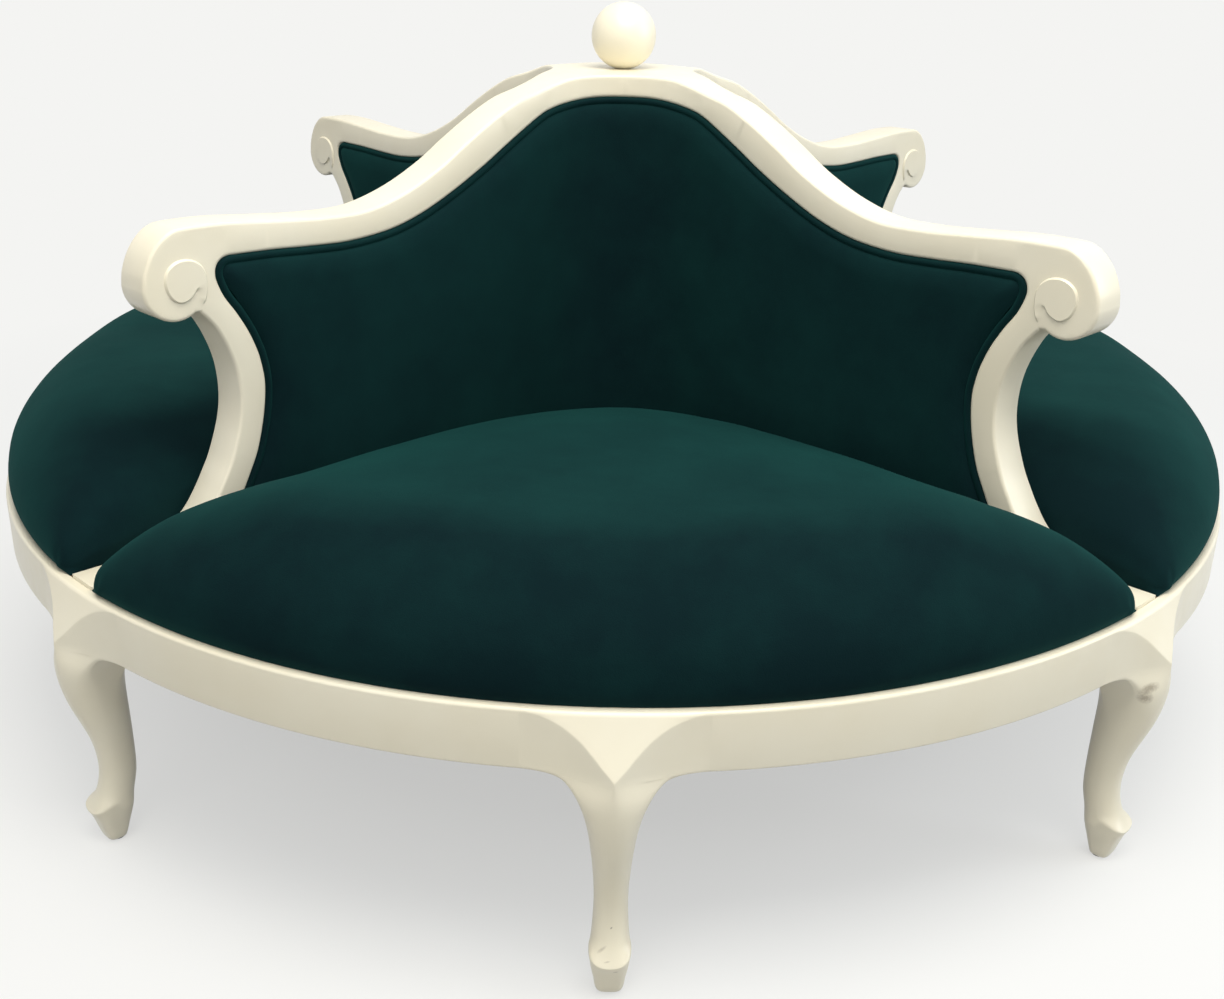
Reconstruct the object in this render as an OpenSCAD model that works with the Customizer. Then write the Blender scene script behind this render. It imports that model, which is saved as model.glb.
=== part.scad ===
// Round centre settee: four seats in a ring, parted by four radial wings that meet under a ball finial.
// The frame is lacquered wood on eight cabriole legs; seats and backs are padded and covered in velvet.
// The origin is at the floor under the centre, +Z is up, and the front seat faces -Y.

/* [Seat ring] */
// Outer radius of the seat ring
ring_r = 950; // [850:10:1050]
// Height of the ring's top edge above the floor
ring_top = 375; // [350:5:400]
// Depth of the apron rails
apron_h = 75; // [65:1:90]
// Radial thickness of the apron rails
apron_w = 45; // [40:1:55]
// Width of the lip that shows outside the seat pads
lip_w = 12; // [9:1:16]
// Radius of the soft edge on the apron's top and bottom arrises
arris_r = 4; // [2:0.5:6]

/* [Legs] */
// Height at which the foot stands on its glide
glide_h = 2.5; // [1.5:0.5:5]
// Radius of a foot glide
glide_r = 9; // [6:0.5:11]
// How far the middle of a foot stands in from the ring's outer face
foot_in = 12; // [4:1:20]
// Half of the ankle's width
ankle_half_w = 18.5; // [16:0.5:22]
// How far the knee stands out past the ring
knee_out = 35; // [25:1:45]
// Half width of the knee's top facet where it meets the ring's top edge
knee_half_w = 96; // [84:1:104]
// Width of the leg block that is left beside the knee's top facet
knee_side = 6.6; // [4:0.2:12]
// Height of the knee facet, from the ring's top edge down to its tip
knee_drop = 67; // [60:1:72]

/* [Wings] */
// Thickness of a wing's frame
wing_t = 60; // [54:1:66]
// Radius of the curve that joins two wings behind a seat
fillet_r = 160; // [140:5:190]
// Height of the crest above the floor
crest_z = 946; // [900:2:980]
// Depth of the top rail at the crest
crest_rail_h = 31.5; // [28:0.5:36]
// Height of the arm's top above the floor
arm_z = 800; // [780:4:820]
// Depth of the top rail at the arm
arm_rail_h = 41; // [37:1:46]
// Distance from the settee's axis to the middle of the scroll
scroll_at = 788; // [760:4:800]
// Radius of the scroll's lower curl
scroll_r = 42; // [38:1:46]
// Distance from the arm's top down to the middle of the scroll
scroll_drop = 70; // [66:1:74]
// Radius of the raised button on the scroll
button_r = 23; // [18:1:26]
// How far the button stands out of the wing's face
button_h = 3; // [1.5:0.5:4]
// How far the radial strip stands above the ring's top edge
strip_up = 5; // [3:0.5:8]
// Width of the radial strip between two seats
strip_w = 54; // [46:1:58]
// Reach of the tongue that the back boards lie against
tongue_reach = 10; // [7:1:11]
// Thickness of that tongue
tongue_t = 10; // [8:1:14]

/* [Frame inside] */
// Side of the square centre post
post_w = 90; // [80:1:100]
// Side of the post's tenon in the hub
tenon_w = 50; // [40:1:60]
// Distance from the axis to a flat of the eight-sided hub
hub_flat = 125; // [115:1:140]
// Width of a bearer under a wing
wing_bearer_w = 90; // [80:1:95]
// Width of a bearer under the middle of a seat
seat_bearer_w = 60; // [50:1:70]
// Height of the wing's sill above the ring's top edge
sill_up = 20; // [15:1:28]
// Side of a corner block along the bearer
block_len = 70; // [55:1:85]
// Side of a corner block along the leg
block_wide = 42; // [35:1:48]
// Height of a corner block
block_h = 44; // [35:1:50]
// Radius of the glued dowels
dowel_r = 5; // [4:0.5:6]
// Length of the glued dowels
dowel_len = 50; // [44:1:56]
// Depth of a top rail's dowels in the centre post
rail_dowel_in = 18; // [15:1:22]
// Radius of the finial's dowel
finial_dowel_r = 8; // [6:0.5:10]
// Length of the finial's dowel, half of it in the ball
finial_dowel_len = 44; // [36:1:52]
// Radius of a corner screw's shank
screw_r = 2.5; // [2:0.25:3]
// Radius of a corner screw's head
screw_head_r = 5; // [4.5:0.5:6]
// Height of a corner screw's head
screw_head_h = 4; // [3:0.5:5]
// Length of a corner screw
screw_len = 50; // [45:1:55]
// Depth of a corner screw in its leg
screw_in = 22; // [18:1:26]
// Thickness of the dust cover's cloth
dust_t = 1.2; // [1:0.1:2]

/* [Finial] */
// Radius of the ball
ball_r = 49; // [40:1:56]
// Radius of the small flat that the ball stands on
ball_flat_r = 11; // [10:1:14]

/* [Upholstery] */
// Thickness of a seat board
seat_board_t = 15; // [12:1:18]
// Height of the seat's crown above the ring's top edge
crown_h = 150; // [120:2:165]
// Height of a seat pad's upright edge
pad_edge_h = 30; // [22:1:38]
// How far the pad's edge swells out over the lip
pad_swell = 7; // [4:1:9]
// Distance from the ring's edge over which the seat rises to its crown
crown_run = 132; // [100:4:170]
// Distance from a wing over which the seat rises to its crown
wing_run = 245; // [180:5:320]
// Distance from the axis within which the seat drops to its inner corner
corner_run = 490; // [400:10:600]
// Thickness of a back board
back_board_t = 8; // [6:0.5:9]
// How far the middle of a back pad stands in front of the wing's face
back_crown = 7; // [4:1:10]
// How far the edge of a back pad lies behind the wing's face
back_tuck = 2; // [1:0.5:4]
// Distance over which a back pad's edge turns in
back_turn = 26; // [18:2:34]
// Space between a seat pad and a back pad's crown
pad_gap = 1; // [0.5:0.5:2]

/* [Hidden] */
$fn = 64;

lacquer = "#EDE6D2";
velvet = "#12383A";
raw_beech = "#C9A477";
plywood = "#B98F5F";
bright_zinc = "#B9BDC0";
black_cloth = "#222222";
grey_felt = "#6E6A66";

// Space left round a dowel, a screw or a tenon
fit = 0.1;
// Space left round boards and seat pads
ease = 0.4;
// Space left between a back pad and the frame's curved edges
pad_ease = 2;
// How far a cutting solid runs past what it cuts
over = 5;
// Steps in each stretch of a smoothed outline, along each curved corner, and along a seat's front
steps = 3;
corner_steps = 8;
front_steps = 24;
// Angle from one leg to the next
eighth = 45;

ring_bottom = ring_top - apron_h;
board_z = ring_top - seat_board_t;
bearer_h = board_z - ring_bottom;
lip_r = ring_r - lip_w;
inner_r = ring_r - apron_w;
// Half of a leg block's width, and the angle that it takes up on either side of its leg
block_half = knee_half_w + knee_side;
leg_half_angle = asin(block_half / ring_r);
foot_at = ring_r - foot_in;
half_t = wing_t / 2;
fillet_at = fillet_r + half_t;
post_half = post_w / 2;
scroll_z = arm_z - scroll_drop;
crest_under = crest_z - crest_rail_h;
arm_under = arm_z - arm_rail_h;
sill_z = ring_top + sill_up;
strip_z = ring_top + strip_up;
strip_end = sqrt(lip_r * lip_r - strip_w * strip_w / 4) - ease;
dowel_hole_r = dowel_r + fit;
screw_hole_r = screw_r + fit;
diagonal = sqrt(2);

// Shares along the wing run from the axis, 0, to the middle of the scroll, 1.
// Heights of the crest line: 0 at the arm's top, 1 at the crest.
crest_shares = [
    [0, 1], [0.1, 1], [0.145, 0.993], [0.18, 0.972], [0.212, 0.925], [0.253, 0.86], [0.303, 0.785],
    [0.36, 0.64], [0.421, 0.452], [0.485, 0.24], [0.562, 0.052], [0.643, -0.06], [0.728, -0.068],
    [0.811, -0.038], [0.906, 0.004]
];
// Heights of the rail's lower edge: 0 under the arm, 1 under the crest.
under_shares = [
    [0, 1], [0.107, 1], [0.146, 0.99], [0.18, 0.96], [0.211, 0.922], [0.24, 0.873], [0.276, 0.78],
    [0.331, 0.619], [0.388, 0.448], [0.459, 0.26], [0.529, 0.106], [0.597, 0.01], [0.678, -0.034],
    [0.754, -0.026], [0.827, -0.007]
];
// Heights down the end post: 0 at the ring's top edge, 1 under the arm.
corner_shares = [[0.891, 1], [0.905, 1], [0.9175, 0.993], [0.9265, 0.975], [0.93, 0.95], [0.928, 0.92]];
post_in_shares = [
    [0.9175, 0.869], [0.899, 0.8125], [0.881, 0.747], [0.869, 0.688], [0.862, 0.638], [0.857, 0.557],
    [0.863, 0.45], [0.879, 0.33], [0.898, 0.247], [0.92, 0.165], [0.945, 0.088]
];
post_out_shares = [
    [0.962, 0.833], [0.935, 0.763], [0.912, 0.648], [0.905, 0.536], [0.911, 0.431], [0.931, 0.315],
    [0.949, 0.245], [0.967, 0.185], [0.99, 0.125], [1.022, 0.078], [1.065, 0.04]
];
// The nose above the curl, measured from the scroll's middle in curl radii.
nose_shares = [[-0.45, 1.69], [0, 1.61], [0.38, 1.36], [0.7, 0.97], [0.93, 0.45]];

// Where a rail's two dowels lie across the centre post, from its middle.
rail_dowel_share = 0.22;
// Where a corner screw lies along its block's side.
screw_side_share = 1 / 3;

// Legs, from the foot up. Heights are shares of the ring's lower edge, distances are shares of the knee's
// reach out from the foot's middle, and half widths are shares of the ankle's half width.
foot_mid = ring_r + knee_out - foot_at;
// [height, front, back, half width, how square the front is, how square the back is]
leg_shares = [
    [0, 0.1, -0.26, 0.55, 0.9, 0.9],
    [0.016, 0.2, -0.34, 0.8, 0.85, 0.85],
    [0.065, 0.34, -0.38, 0.95, 0.8, 0.8],
    [0.13, 0.54, -0.43, 1.12, 0.8, 0.8],
    [0.16, 0.6, -0.46, 1.3, 0.85, 0.75],
    [0.182, 0.62, -0.52, 1.34, 0.9, 0.75],
    [0.225, 0.4, -0.6, 1.24, 0.85, 0.75],
    [0.3, 0.2, -0.76, 1.06, 0.8, 0.75],
    [0.39, 0.16, -0.84, 1, 0.8, 0.75],
    [0.485, 0.24, -0.86, 1.01, 0.82, 0.75],
    [0.6, 0.46, -0.84, 1.08, 0.88, 0.75],
    [0.7, 0.71, -0.81, 1.28, 0.95, 0.75],
    [0.78, 0.86, -0.79, 1.58, 1.02, 0.75],
    [0.86, 0.95, -0.78, 2.05, 1.1, 0.72],
    [0.92, 0.99, -0.78, 2.65, 1.16, 0.66],
    [0.965, 1, -0.78, 3.4, 1.2, 0.6],
    [0.99, 1, -0.78, 4.1, 1.24, 0.55]
];

function flat(lists) = [for (l = lists) for (v = l) v];
function arc_points(c, r, from, to, n) =
    [for (i = [0 : n]) let (a = from + (to - from) * i / n) c + r * [cos(a), sin(a)]];
function mirrored(pts) = [for (i = [len(pts) - 1 : -1 : 0]) [pts[i][0], -pts[i][1]]];
function backwards(pts) = [for (i = [len(pts) - 1 : -1 : 0]) pts[i]];

// A smooth line through points: each stretch is a cubic that leaves and arrives along its neighbours.
function cubic(a, b, c, d, t) =
    0.5 * (2 * b + (c - a) * t + (2 * a - 5 * b + 4 * c - d) * t * t + (3 * b - 3 * c + d - a) * t * t * t);
function smooth(p) = concat(
    [for (i = [0 : len(p) - 2]) for (k = [0 : steps - 1])
        cubic(p[max(i - 1, 0)], p[i], p[i + 1], p[min(i + 2, len(p) - 1)], k / steps)],
    [p[len(p) - 1]]);
// A line moved to its right-hand side by a distance.
function moved(p, d) = [for (i = [0 : len(p) - 1])
    let (t = p[min(i + 1, len(p) - 1)] - p[max(i - 1, 0)]) p[i] + d * [t[1], -t[0]] / norm(t)];

// Outlines of a wing seen from the side: [distance from the axis, height].
function crest_point(q) = [q[0] * scroll_at, arm_z + q[1] * (crest_z - arm_z)];
function under_point(q) = [q[0] * scroll_at, arm_under + q[1] * (crest_under - arm_under)];
function post_point(q) = [q[0] * scroll_at, ring_top + q[1] * (arm_under - ring_top)];
scroll_mid = [scroll_at, scroll_z];
crest_line = smooth(concat(
    [for (q = crest_shares) crest_point(q)],
    [for (q = nose_shares) scroll_mid + scroll_r * q],
    [scroll_mid + [scroll_r, 0]]));
crotch = post_point(post_out_shares[0]);
// The curl runs round from just below its nose to just before it meets the post.
curl_from = -12;
curl_to = atan2(crotch[1] - scroll_z, crotch[0] - scroll_at) + 6;
curl_line = arc_points(scroll_mid, scroll_r, curl_from, curl_to, 14);
opening_rough = concat(
    [for (q = under_shares) under_point(q)],
    [for (q = corner_shares) post_point(q)],
    [for (q = post_in_shares) post_point(q)]);
opening_line = smooth(opening_rough);
// The rail ends and the post begins here on the opening's edge.
joint_step = steps * (len(under_shares) + len(corner_shares));
rail_edge = [for (i = [0 : joint_step]) opening_line[i]];
post_edge = [for (i = [joint_step : len(opening_line) - 1]) opening_line[i]];
joint_in = opening_line[joint_step];
joint_mid = (joint_in + crotch) / 2;
joint_angle = atan2(crotch[1] - joint_in[1], crotch[0] - joint_in[0]);
post_foot_in = post_edge[len(post_edge) - 1][0];

// Plan of a wing, its length along X. deep is the distance from the wing's middle plane.
mitre_angle = 225;
function fillet_curve(deep, from = mitre_angle) =
    arc_points([fillet_at, fillet_at], fillet_at - deep, from, 270, corner_steps);
function half_plan(deep, end, from = mitre_angle) = concat(fillet_curve(deep, from), [[end, deep]]);
function wing_plan(deep, end) = let (half = half_plan(deep, end))
    concat([[post_half, post_half]], half, mirrored(half), [[post_half, -post_half]]);
wing_end = scroll_at + scroll_r + over;

// Extrudes a side outline across the wing, to a distance on either side.
module side_wall(pts, reach) {
    translate([0, reach, 0]) rotate([90, 0, 0]) linear_extrude(2 * reach) polygon(pts);
}
// Extrudes a plan outline from one height to another.
module upright(pts, low, high) {
    translate([0, 0, low]) linear_extrude(high - low) polygon(pts);
}
// Wing 1 stands to the right of the front seat; seat 1 and leg 1 are the front ones.
module at_wing(i) { rotate([0, 0, 2 * eighth * i - 3 * eighth]) children(); }
module at_seat(i) { rotate([0, 0, 2 * eighth * (i - 1)]) children(); }
module at_leg(i) { rotate([0, 0, eighth * (i - 1)]) children(); }
// The same turns for a piece that is drawn with its length along X.
module along_leg(i) { at_leg(i) rotate([0, 0, -90]) children(); }
module both_sides() { for (side = [0, 1]) mirror([0, side, 0]) children(); }

// Where two dowels lie in each end of a top rail.
module rail_end_dowels(r, len) {
    for (side = [-1, 1]) {
        translate([post_half + dowel_len / 2 - rail_dowel_in, side * post_w * rail_dowel_share,
            (crest_z + crest_under) / 2]) rotate([0, 90, 0]) cylinder(r = r, h = len, center = true);
        translate([joint_mid[0], side * wing_t / 4, joint_mid[1]])
            rotate([0, -joint_angle, 0]) cylinder(r = r, h = len, center = true);
    }
}

// A tongue runs along the opening's edge: it starts inside the frame and stands out into the opening.
function tongue_outline(edge) = concat(moved(edge, -over), backwards(moved(edge, tongue_reach)));
// The tongues stop a step short of the joint between the rail and the post.
rail_tongue = [for (i = [0 : len(rail_edge) - 2]) rail_edge[i]];
post_tongue = [for (i = [1 : len(post_edge) - 1]) post_edge[i]];
module rail_body() {
    intersection() {
        side_wall(concat(crest_line, curl_line, [crotch], backwards(rail_edge)), fillet_at);
        upright(wing_plan(half_t, wing_end), sill_z, crest_z + over);
    }
    intersection() {
        side_wall(tongue_outline(rail_tongue), fillet_at);
        upright(wing_plan(tongue_t / 2, wing_end), sill_z, crest_z);
    }
    translate([scroll_at, 0, scroll_z]) rotate([90, 0, 0])
        cylinder(r = button_r, h = wing_t + 2 * button_h, center = true);
}
module top_rail(i) {
    color(lacquer) at_wing(i) difference() {
        rail_body();
        rail_end_dowels(dowel_hole_r, dowel_len + 2 * fit);
    }
}

// The end post curves down from the scroll and runs out to the ring as a flat strip.
module end_post(i) {
    outer = smooth(concat([for (q = post_out_shares) post_point(q)], [[strip_start, strip_z]]));
    color(lacquer) at_wing(i) difference() {
        union() {
            intersection() {
                side_wall(concat(
                    outer, [[strip_end, strip_z], [strip_end, board_z], [post_foot_in, board_z]],
                    backwards(post_edge)), half_t);
                upright(post_plan, ring_bottom, arm_z);
            }
            side_wall(tongue_outline(post_tongue), tongue_t / 2);
        }
        rail_end_dowels(dowel_hole_r, dowel_len + 2 * fit);
    }
}
// Where the post's outer curve has run out into the strip
strip_start = (scroll_at + strip_end + scroll_r) / 2;
post_plan = [
    [0, -half_t], [scroll_at, -half_t], [strip_start, -strip_w / 2], [ring_r, -strip_w / 2],
    [ring_r, strip_w / 2], [strip_start, strip_w / 2], [scroll_at, half_t], [0, half_t]
];

// Square post with a tenon below; the rails and sills butt against its faces.
module centre_post() {
    color(lacquer) rotate([0, 0, eighth]) difference() {
        union() {
            translate([-post_half, -post_half, board_z]) cube([post_w, post_w, crest_z - board_z]);
            translate([-tenon_w / 2, -tenon_w / 2, ring_bottom]) cube([tenon_w, tenon_w, bearer_h + over]);
        }
        for (i = [1 : 4]) rotate([0, 0, 2 * eighth * i]) rail_end_dowels(dowel_hole_r, dowel_len + 2 * fit);
        finial_dowel(finial_dowel_r + fit, finial_dowel_len + 2 * fit);
    }
}
module finial_dowel(r, len) {
    translate([0, 0, crest_z]) cylinder(r = r, h = len, center = true);
}
ball_mid = sqrt(ball_r * ball_r - ball_flat_r * ball_flat_r);
module finial_ball() {
    color(lacquer) difference() {
        translate([0, 0, crest_z + ball_mid]) sphere(r = ball_r);
        translate([-ball_r, -ball_r, crest_z - ball_r]) cube([2 * ball_r, 2 * ball_r, ball_r]);
        finial_dowel(finial_dowel_r + fit, finial_dowel_len + 2 * fit);
    }
}

// Eight-sided block that the bearers run out from.
module hub_block() {
    color(raw_beech) difference() {
        rotate([0, 0, eighth / 2]) translate([0, 0, ring_bottom])
            cylinder(r = hub_flat / cos(eighth / 2), h = bearer_h, $fn = 8);
        rotate([0, 0, eighth]) translate([0, 0, board_z - bearer_h / 2])
            cube([tenon_w + 2 * fit, tenon_w + 2 * fit, bearer_h + over], center = true);
        for (i = [1 : 8]) at_leg(i) bearer_end_dowels(dowel_hole_r, dowel_len + 2 * fit);
    }
}
module bearer_end_dowels(r, len) {
    for (side = [-1, 1])
        translate([hub_flat, side * seat_bearer_w / 4, ring_bottom + bearer_h / 2])
            rotate([0, 90, 0]) cylinder(r = r, h = len, center = true);
}
module bearer(w) {
    difference() {
        translate([hub_flat, -w / 2, ring_bottom]) cube([inner_r - hub_flat, w, bearer_h]);
        bearer_end_dowels(dowel_hole_r, dowel_len + 2 * fit);
    }
}
// The bearer under a wing carries the wing's sill in one piece.
module wing_bearer(i) {
    color(raw_beech) at_wing(i) union() {
        bearer(wing_bearer_w);
        intersection() {
            upright(wing_plan(half_t, post_foot_in), board_z, sill_z);
            translate([post_half, -ring_r, board_z]) cube([post_foot_in - post_half, 2 * ring_r, bearer_h]);
        }
        translate([fillet_at, -tongue_t / 2, sill_z - over])
            cube([post_foot_in - 2 * wing_t - fillet_at, tongue_t, tongue_reach + over]);
    }
}
module seat_bearer(i) {
    color(raw_beech) along_leg(2 * i - 1) bearer(seat_bearer_w);
}

// Triangular blocks glued and screwed into the corners behind each leg.
function half_bearer(i) = (i % 2 == 0 ? wing_bearer_w : seat_bearer_w) / 2;
block_z = ring_bottom + (bearer_h - block_h) / 2;
module corner_blocks() {
    color(raw_beech) for (i = [1 : 8]) along_leg(i) both_sides()
        difference() {
            translate([0, half_bearer(i), 0]) upright(
                [[inner_r, 0], [inner_r, block_wide], [inner_r - block_len, 0]], block_z, block_z + block_h);
            corner_screw_hole(i);
        }
}
// A screw runs through the block into the back of the leg; its head lies sunk in the block.
module at_corner_screw(i) {
    side = half_bearer(i) + block_wide * screw_side_share;
    translate([inner_r + screw_in, side, ring_bottom + bearer_h / 2]) rotate([0, -90, 0]) children();
}
module corner_screw_hole(i) {
    at_corner_screw(i) {
        translate([0, 0, -fit]) cylinder(r = screw_hole_r, h = screw_len + fit);
        translate([0, 0, screw_len - screw_head_h]) cylinder(r = screw_head_r + fit, h = block_len);
    }
}
module corner_screws() {
    color(bright_zinc) for (i = [1 : 8]) along_leg(i) both_sides() at_corner_screw(i) {
        cylinder(r = screw_r, h = screw_len);
        translate([0, 0, screw_len - screw_head_h]) cylinder(r = screw_head_r, h = screw_head_h);
    }
}

// Dowels lie across the joint between an apron rail and a leg block.
module apron_end_dowel(r, len) {
    rotate([0, 0, leg_half_angle])
        translate([(inner_r + ring_r) / 2, 0, ring_bottom + bearer_h / 2])
            rotate([90, 0, 0]) cylinder(r = r, h = len, center = true);
}
module apron_rail(i) {
    section = concat(
        [[inner_r, ring_bottom]],
        arc_points([ring_r - arris_r, ring_bottom + arris_r], arris_r, -90, 0, 4),
        arc_points([ring_r - arris_r, ring_top - arris_r], arris_r, 0, 90, 4),
        [[lip_r, ring_top], [lip_r, board_z], [inner_r, board_z]]);
    color(lacquer) along_leg(i) difference() {
        rotate([0, 0, leg_half_angle])
            rotate_extrude(angle = eighth - 2 * leg_half_angle, $fn = 180) polygon(section);
        apron_end_dowel(dowel_hole_r, dowel_len + 2 * fit);
        rotate([0, 0, eighth]) mirror([0, 1, 0]) apron_end_dowel(dowel_hole_r, dowel_len + 2 * fit);
    }
}

// A leg is a stack of rings of points: the cabriole below, then the block with its pointed knee facet.
// In this list X runs out from the axis and Y along the ring.
leg_sides = 16;
function bent(v, p) = sign(v) * pow(abs(v), p);
function leg_ring(q) = let (
        front = foot_at + q[1] * foot_mid, back = foot_at + q[2] * foot_mid,
        mid = (front + back) / 2, deep = (front - back) / 2, w = q[3] * ankle_half_w)
    [for (k = [0 : leg_sides - 1]) let (a = 360 * k / leg_sides, p = cos(a) >= 0 ? q[4] : q[5])
        [mid + deep * bent(cos(a), p), w * bent(sin(a), p), glide_h + q[0] * (ring_bottom - glide_h)]];
// How far the ring's face and the knee facet stand out, at a place along the ring and a height.
function ring_face(y) = sqrt(ring_r * ring_r - y * y);
function facet_out(z) = (ring_top - z) / knee_drop * (knee_out - button_h);
function facet_half(z) = max(0, knee_half_w * (z - ring_top + knee_drop) / knee_drop);
block_tan = tan(leg_half_angle);
// How far the block's flank runs beside the facet, and how much of the facet's reach it keeps half way.
flank_share = 0.8;
flank_out_share = 0.42;
// Height of the block's middle ring above the facet's tip.
facet_rise_share = 0.62;
// The block's ring of points: five on each side of the front, then two inside corners on each side.
function block_ring(z, back) = let (
        v = facet_half(z), foot = max(v, knee_half_w * flank_share),
        out = facet_out(z),
        one_side = [
            [ring_face(v / 2) + out, v / 2], [ring_face(v) + out, v],
            [ring_face((v + foot) / 2) + out * flank_out_share, (v + foot) / 2], [ring_face(foot), foot],
            [ring_r * cos(leg_half_angle), block_half], [back, back * block_tan], [back, back * block_tan / 2]])
    concat([[ring_face(0) + out, 0, z]], [for (p = one_side) [p[0], p[1], z]], [[back, 0, z]],
        [for (i = [len(one_side) - 1 : -1 : 0]) [one_side[i][0], -one_side[i][1], z]]);
tip_z = ring_top - knee_drop;
leg_rings = concat(
    [for (q = leg_shares) leg_ring(q)],
    [block_ring(ring_bottom, inner_r), block_ring(tip_z, inner_r)],
    [block_ring(tip_z + facet_rise_share * knee_drop, inner_r), block_ring(board_z, inner_r)],
    [block_ring(board_z, lip_r), block_ring(ring_top, lip_r)]);
// Faces of a stack of rings with n points each: the first ring closed by one face, then the walls.
function stack_faces(n, rows) = concat(
    [[for (k = [0 : n - 1]) k]],
    [for (j = [0 : rows - 2]) for (k = [0 : n - 1]) let (a = j * n + k, b = j * n + (k + 1) % n)
        each [[a, a + n, b + n], [a, b + n, b]]]);
function last_face(n, rows) = [[for (k = [n - 1 : -1 : 0]) (rows - 1) * n + k]];
module leg(i) {
    rows = len(leg_rings);
    color(lacquer) along_leg(i) difference() {
        polyhedron(flat(leg_rings), concat(stack_faces(leg_sides, rows), last_face(leg_sides, rows)));
        both_sides() {
            apron_end_dowel(dowel_hole_r, dowel_len + 2 * fit);
            corner_screw_hole(i);
        }
    }
}
module apron_dowels() {
    color(raw_beech) for (i = [1 : 8]) along_leg(i) both_sides() apron_end_dowel(dowel_r, dowel_len);
}
module wing_dowels() {
    color(raw_beech) {
        for (i = [1 : 4]) at_wing(i) rail_end_dowels(dowel_r, dowel_len);
        finial_dowel(finial_dowel_r, finial_dowel_len);
    }
}
module bearer_dowels() {
    color(raw_beech) for (i = [1 : 8]) at_leg(i) bearer_end_dowels(dowel_r, dowel_len);
}
module foot_glides() {
    color(grey_felt) for (i = [1 : 8]) along_leg(i) translate([glide_at, 0, 0])
        cylinder(r = glide_r, h = glide_h);
}
glide_at = foot_at + (leg_shares[0][1] + leg_shares[0][2]) / 2 * foot_mid;

// Black cloth tacked under the frame, cut out round the legs.
module dust_cover() {
    color(black_cloth) difference() {
        translate([0, 0, ring_bottom - dust_t]) cylinder(r = (inner_r + ring_r) / 2, h = dust_t, $fn = 180);
        for (i = [1 : 8]) along_leg(i) translate([inner_r - block_wide / 2, -block_half, ring_bottom - over])
            cube([ring_r - inner_r + block_wide / 2, 2 * block_half, 2 * over]);
    }
}

// Plan of a seat that faces -Y, at a distance from its wings' middle planes and from the axis.
function tip_angle(deep, out) = eighth - asin(deep / out);
function front_arc(deep, out) = let (a = tip_angle(deep, out))
    [for (k = [0 : front_steps]) let (b = a - 2 * a * k / front_steps) out * [sin(b), -cos(b)]];
// The rounded inner corner of a seat, from its left wing to its right one.
function inner_corner(deep) = [for (k = [-corner_steps : corner_steps])
    bend_point(fillet_at * k / corner_steps, deep)];
// The place round the bend: s is the distance along the wings, negative to the left, and deep the distance
// in front of their middle planes.
function bend_point(s, deep) = let (a = eighth * s / fillet_at)
    abs(s) <= fillet_at
        ? [(fillet_at - deep) * sin(a), (fillet_at - deep) * cos(a) - fillet_at * diagonal]
        : [sign(s) * (abs(s) - deep) / diagonal, -(abs(s) + deep) / diagonal];
function along_wing(p) = (abs(p[0]) - p[1]) / diagonal;
function wing_distance(p) = (-p[1] - abs(p[0])) / diagonal;

module seat_board(i) {
    deep = half_t + ease;
    out = lip_r - ease;
    color(plywood) at_seat(i) upright(concat(front_arc(deep, out), inner_corner(deep)), board_z, ring_top);
}

// A seat pad is a stack of loops that follow the seat's outline and close in on its middle. It keeps clear of
// the back pads' crowns, and further out lies close to the strips.
pad_deep = half_t + back_crown + pad_gap;
pad_strip_deep = half_t + pad_gap;
pad_out = lip_r - ease;
pad_mid_share = 0.6;
pad_mid = [0, -ring_r * pad_mid_share];
pad_loop_shares = [1, 0.985, 0.95, 0.89, 0.8, 0.66, 0.45, 0.2];
// Where on the upright edge it swells most, how much of that edge is left at the tips, and how much of the
// crown is left beside the wings, and how much of it is lost in the inner corner.
swell_share = 0.7;
tip_edge_share = 0.15;
wing_crown_share = 0.23;
corner_drop_share = 0.41;
round_power = 1.7;
// A quarter round: rises steeply from 0 and levels off at 1.
function eased(t) = let (u = 1 - max(0, min(1, t))) pow(1 - pow(u, round_power), 1 / round_power);
function pad_outline(out) = concat(
    front_arc(pad_strip_deep, out),
    [bend_point(-scroll_at, pad_strip_deep), bend_point(-post_foot_in, pad_deep)],
    inner_corner(pad_deep),
    [bend_point(post_foot_in, pad_deep), bend_point(scroll_at, pad_strip_deep)]);
function corner_left(p) = let (c = min(1, norm(p) / corner_run))
    1 - corner_drop_share * (1 - c * c * (3 - 2 * c));
function pad_middle(p) = eased((wing_distance(p) - pad_strip_deep) / wing_run);
function pad_edge(p) = pad_edge_h * (tip_edge_share + (1 - tip_edge_share) * pad_middle(p));
function pad_height(p) = pad_edge(p) + (crown_h - pad_edge(p))
    * eased((pad_out + pad_swell - norm(p)) / crown_run)
    * (wing_crown_share + (1 - wing_crown_share) * pad_middle(p)) * corner_left(p);
function pad_loops() = let (base = pad_outline(pad_out), wide = pad_outline(pad_out + pad_swell))
    concat(
        [[for (p = base) [p[0], p[1], ring_top + ease]]],
        [[for (p = wide) [p[0], p[1], ring_top + ease + swell_share * pad_edge(p)]]],
        [for (s = pad_loop_shares) [for (p = wide) let (q = pad_mid + s * (p - pad_mid))
            [q[0], q[1], ring_top + 2 * ease + pad_height(q)]]]);
module seat_pad(i) {
    loops = pad_loops();
    n = len(loops[0]);
    rows = len(loops);
    points = concat(flat(loops), [[pad_mid[0], pad_mid[1], ring_top + 2 * ease + pad_height(pad_mid)]]);
    color(velvet) at_seat(i) polyhedron(points, concat(
        stack_faces(n, rows),
        [for (k = [0 : n - 1]) [(rows - 1) * n + k, rows * n, (rows - 1) * n + (k + 1) % n]]));
}

// A back board bends round behind a seat; each half follows one wing's opening.
board_back = tongue_t / 2 + ease;
board_front = board_back + back_board_t;
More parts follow.
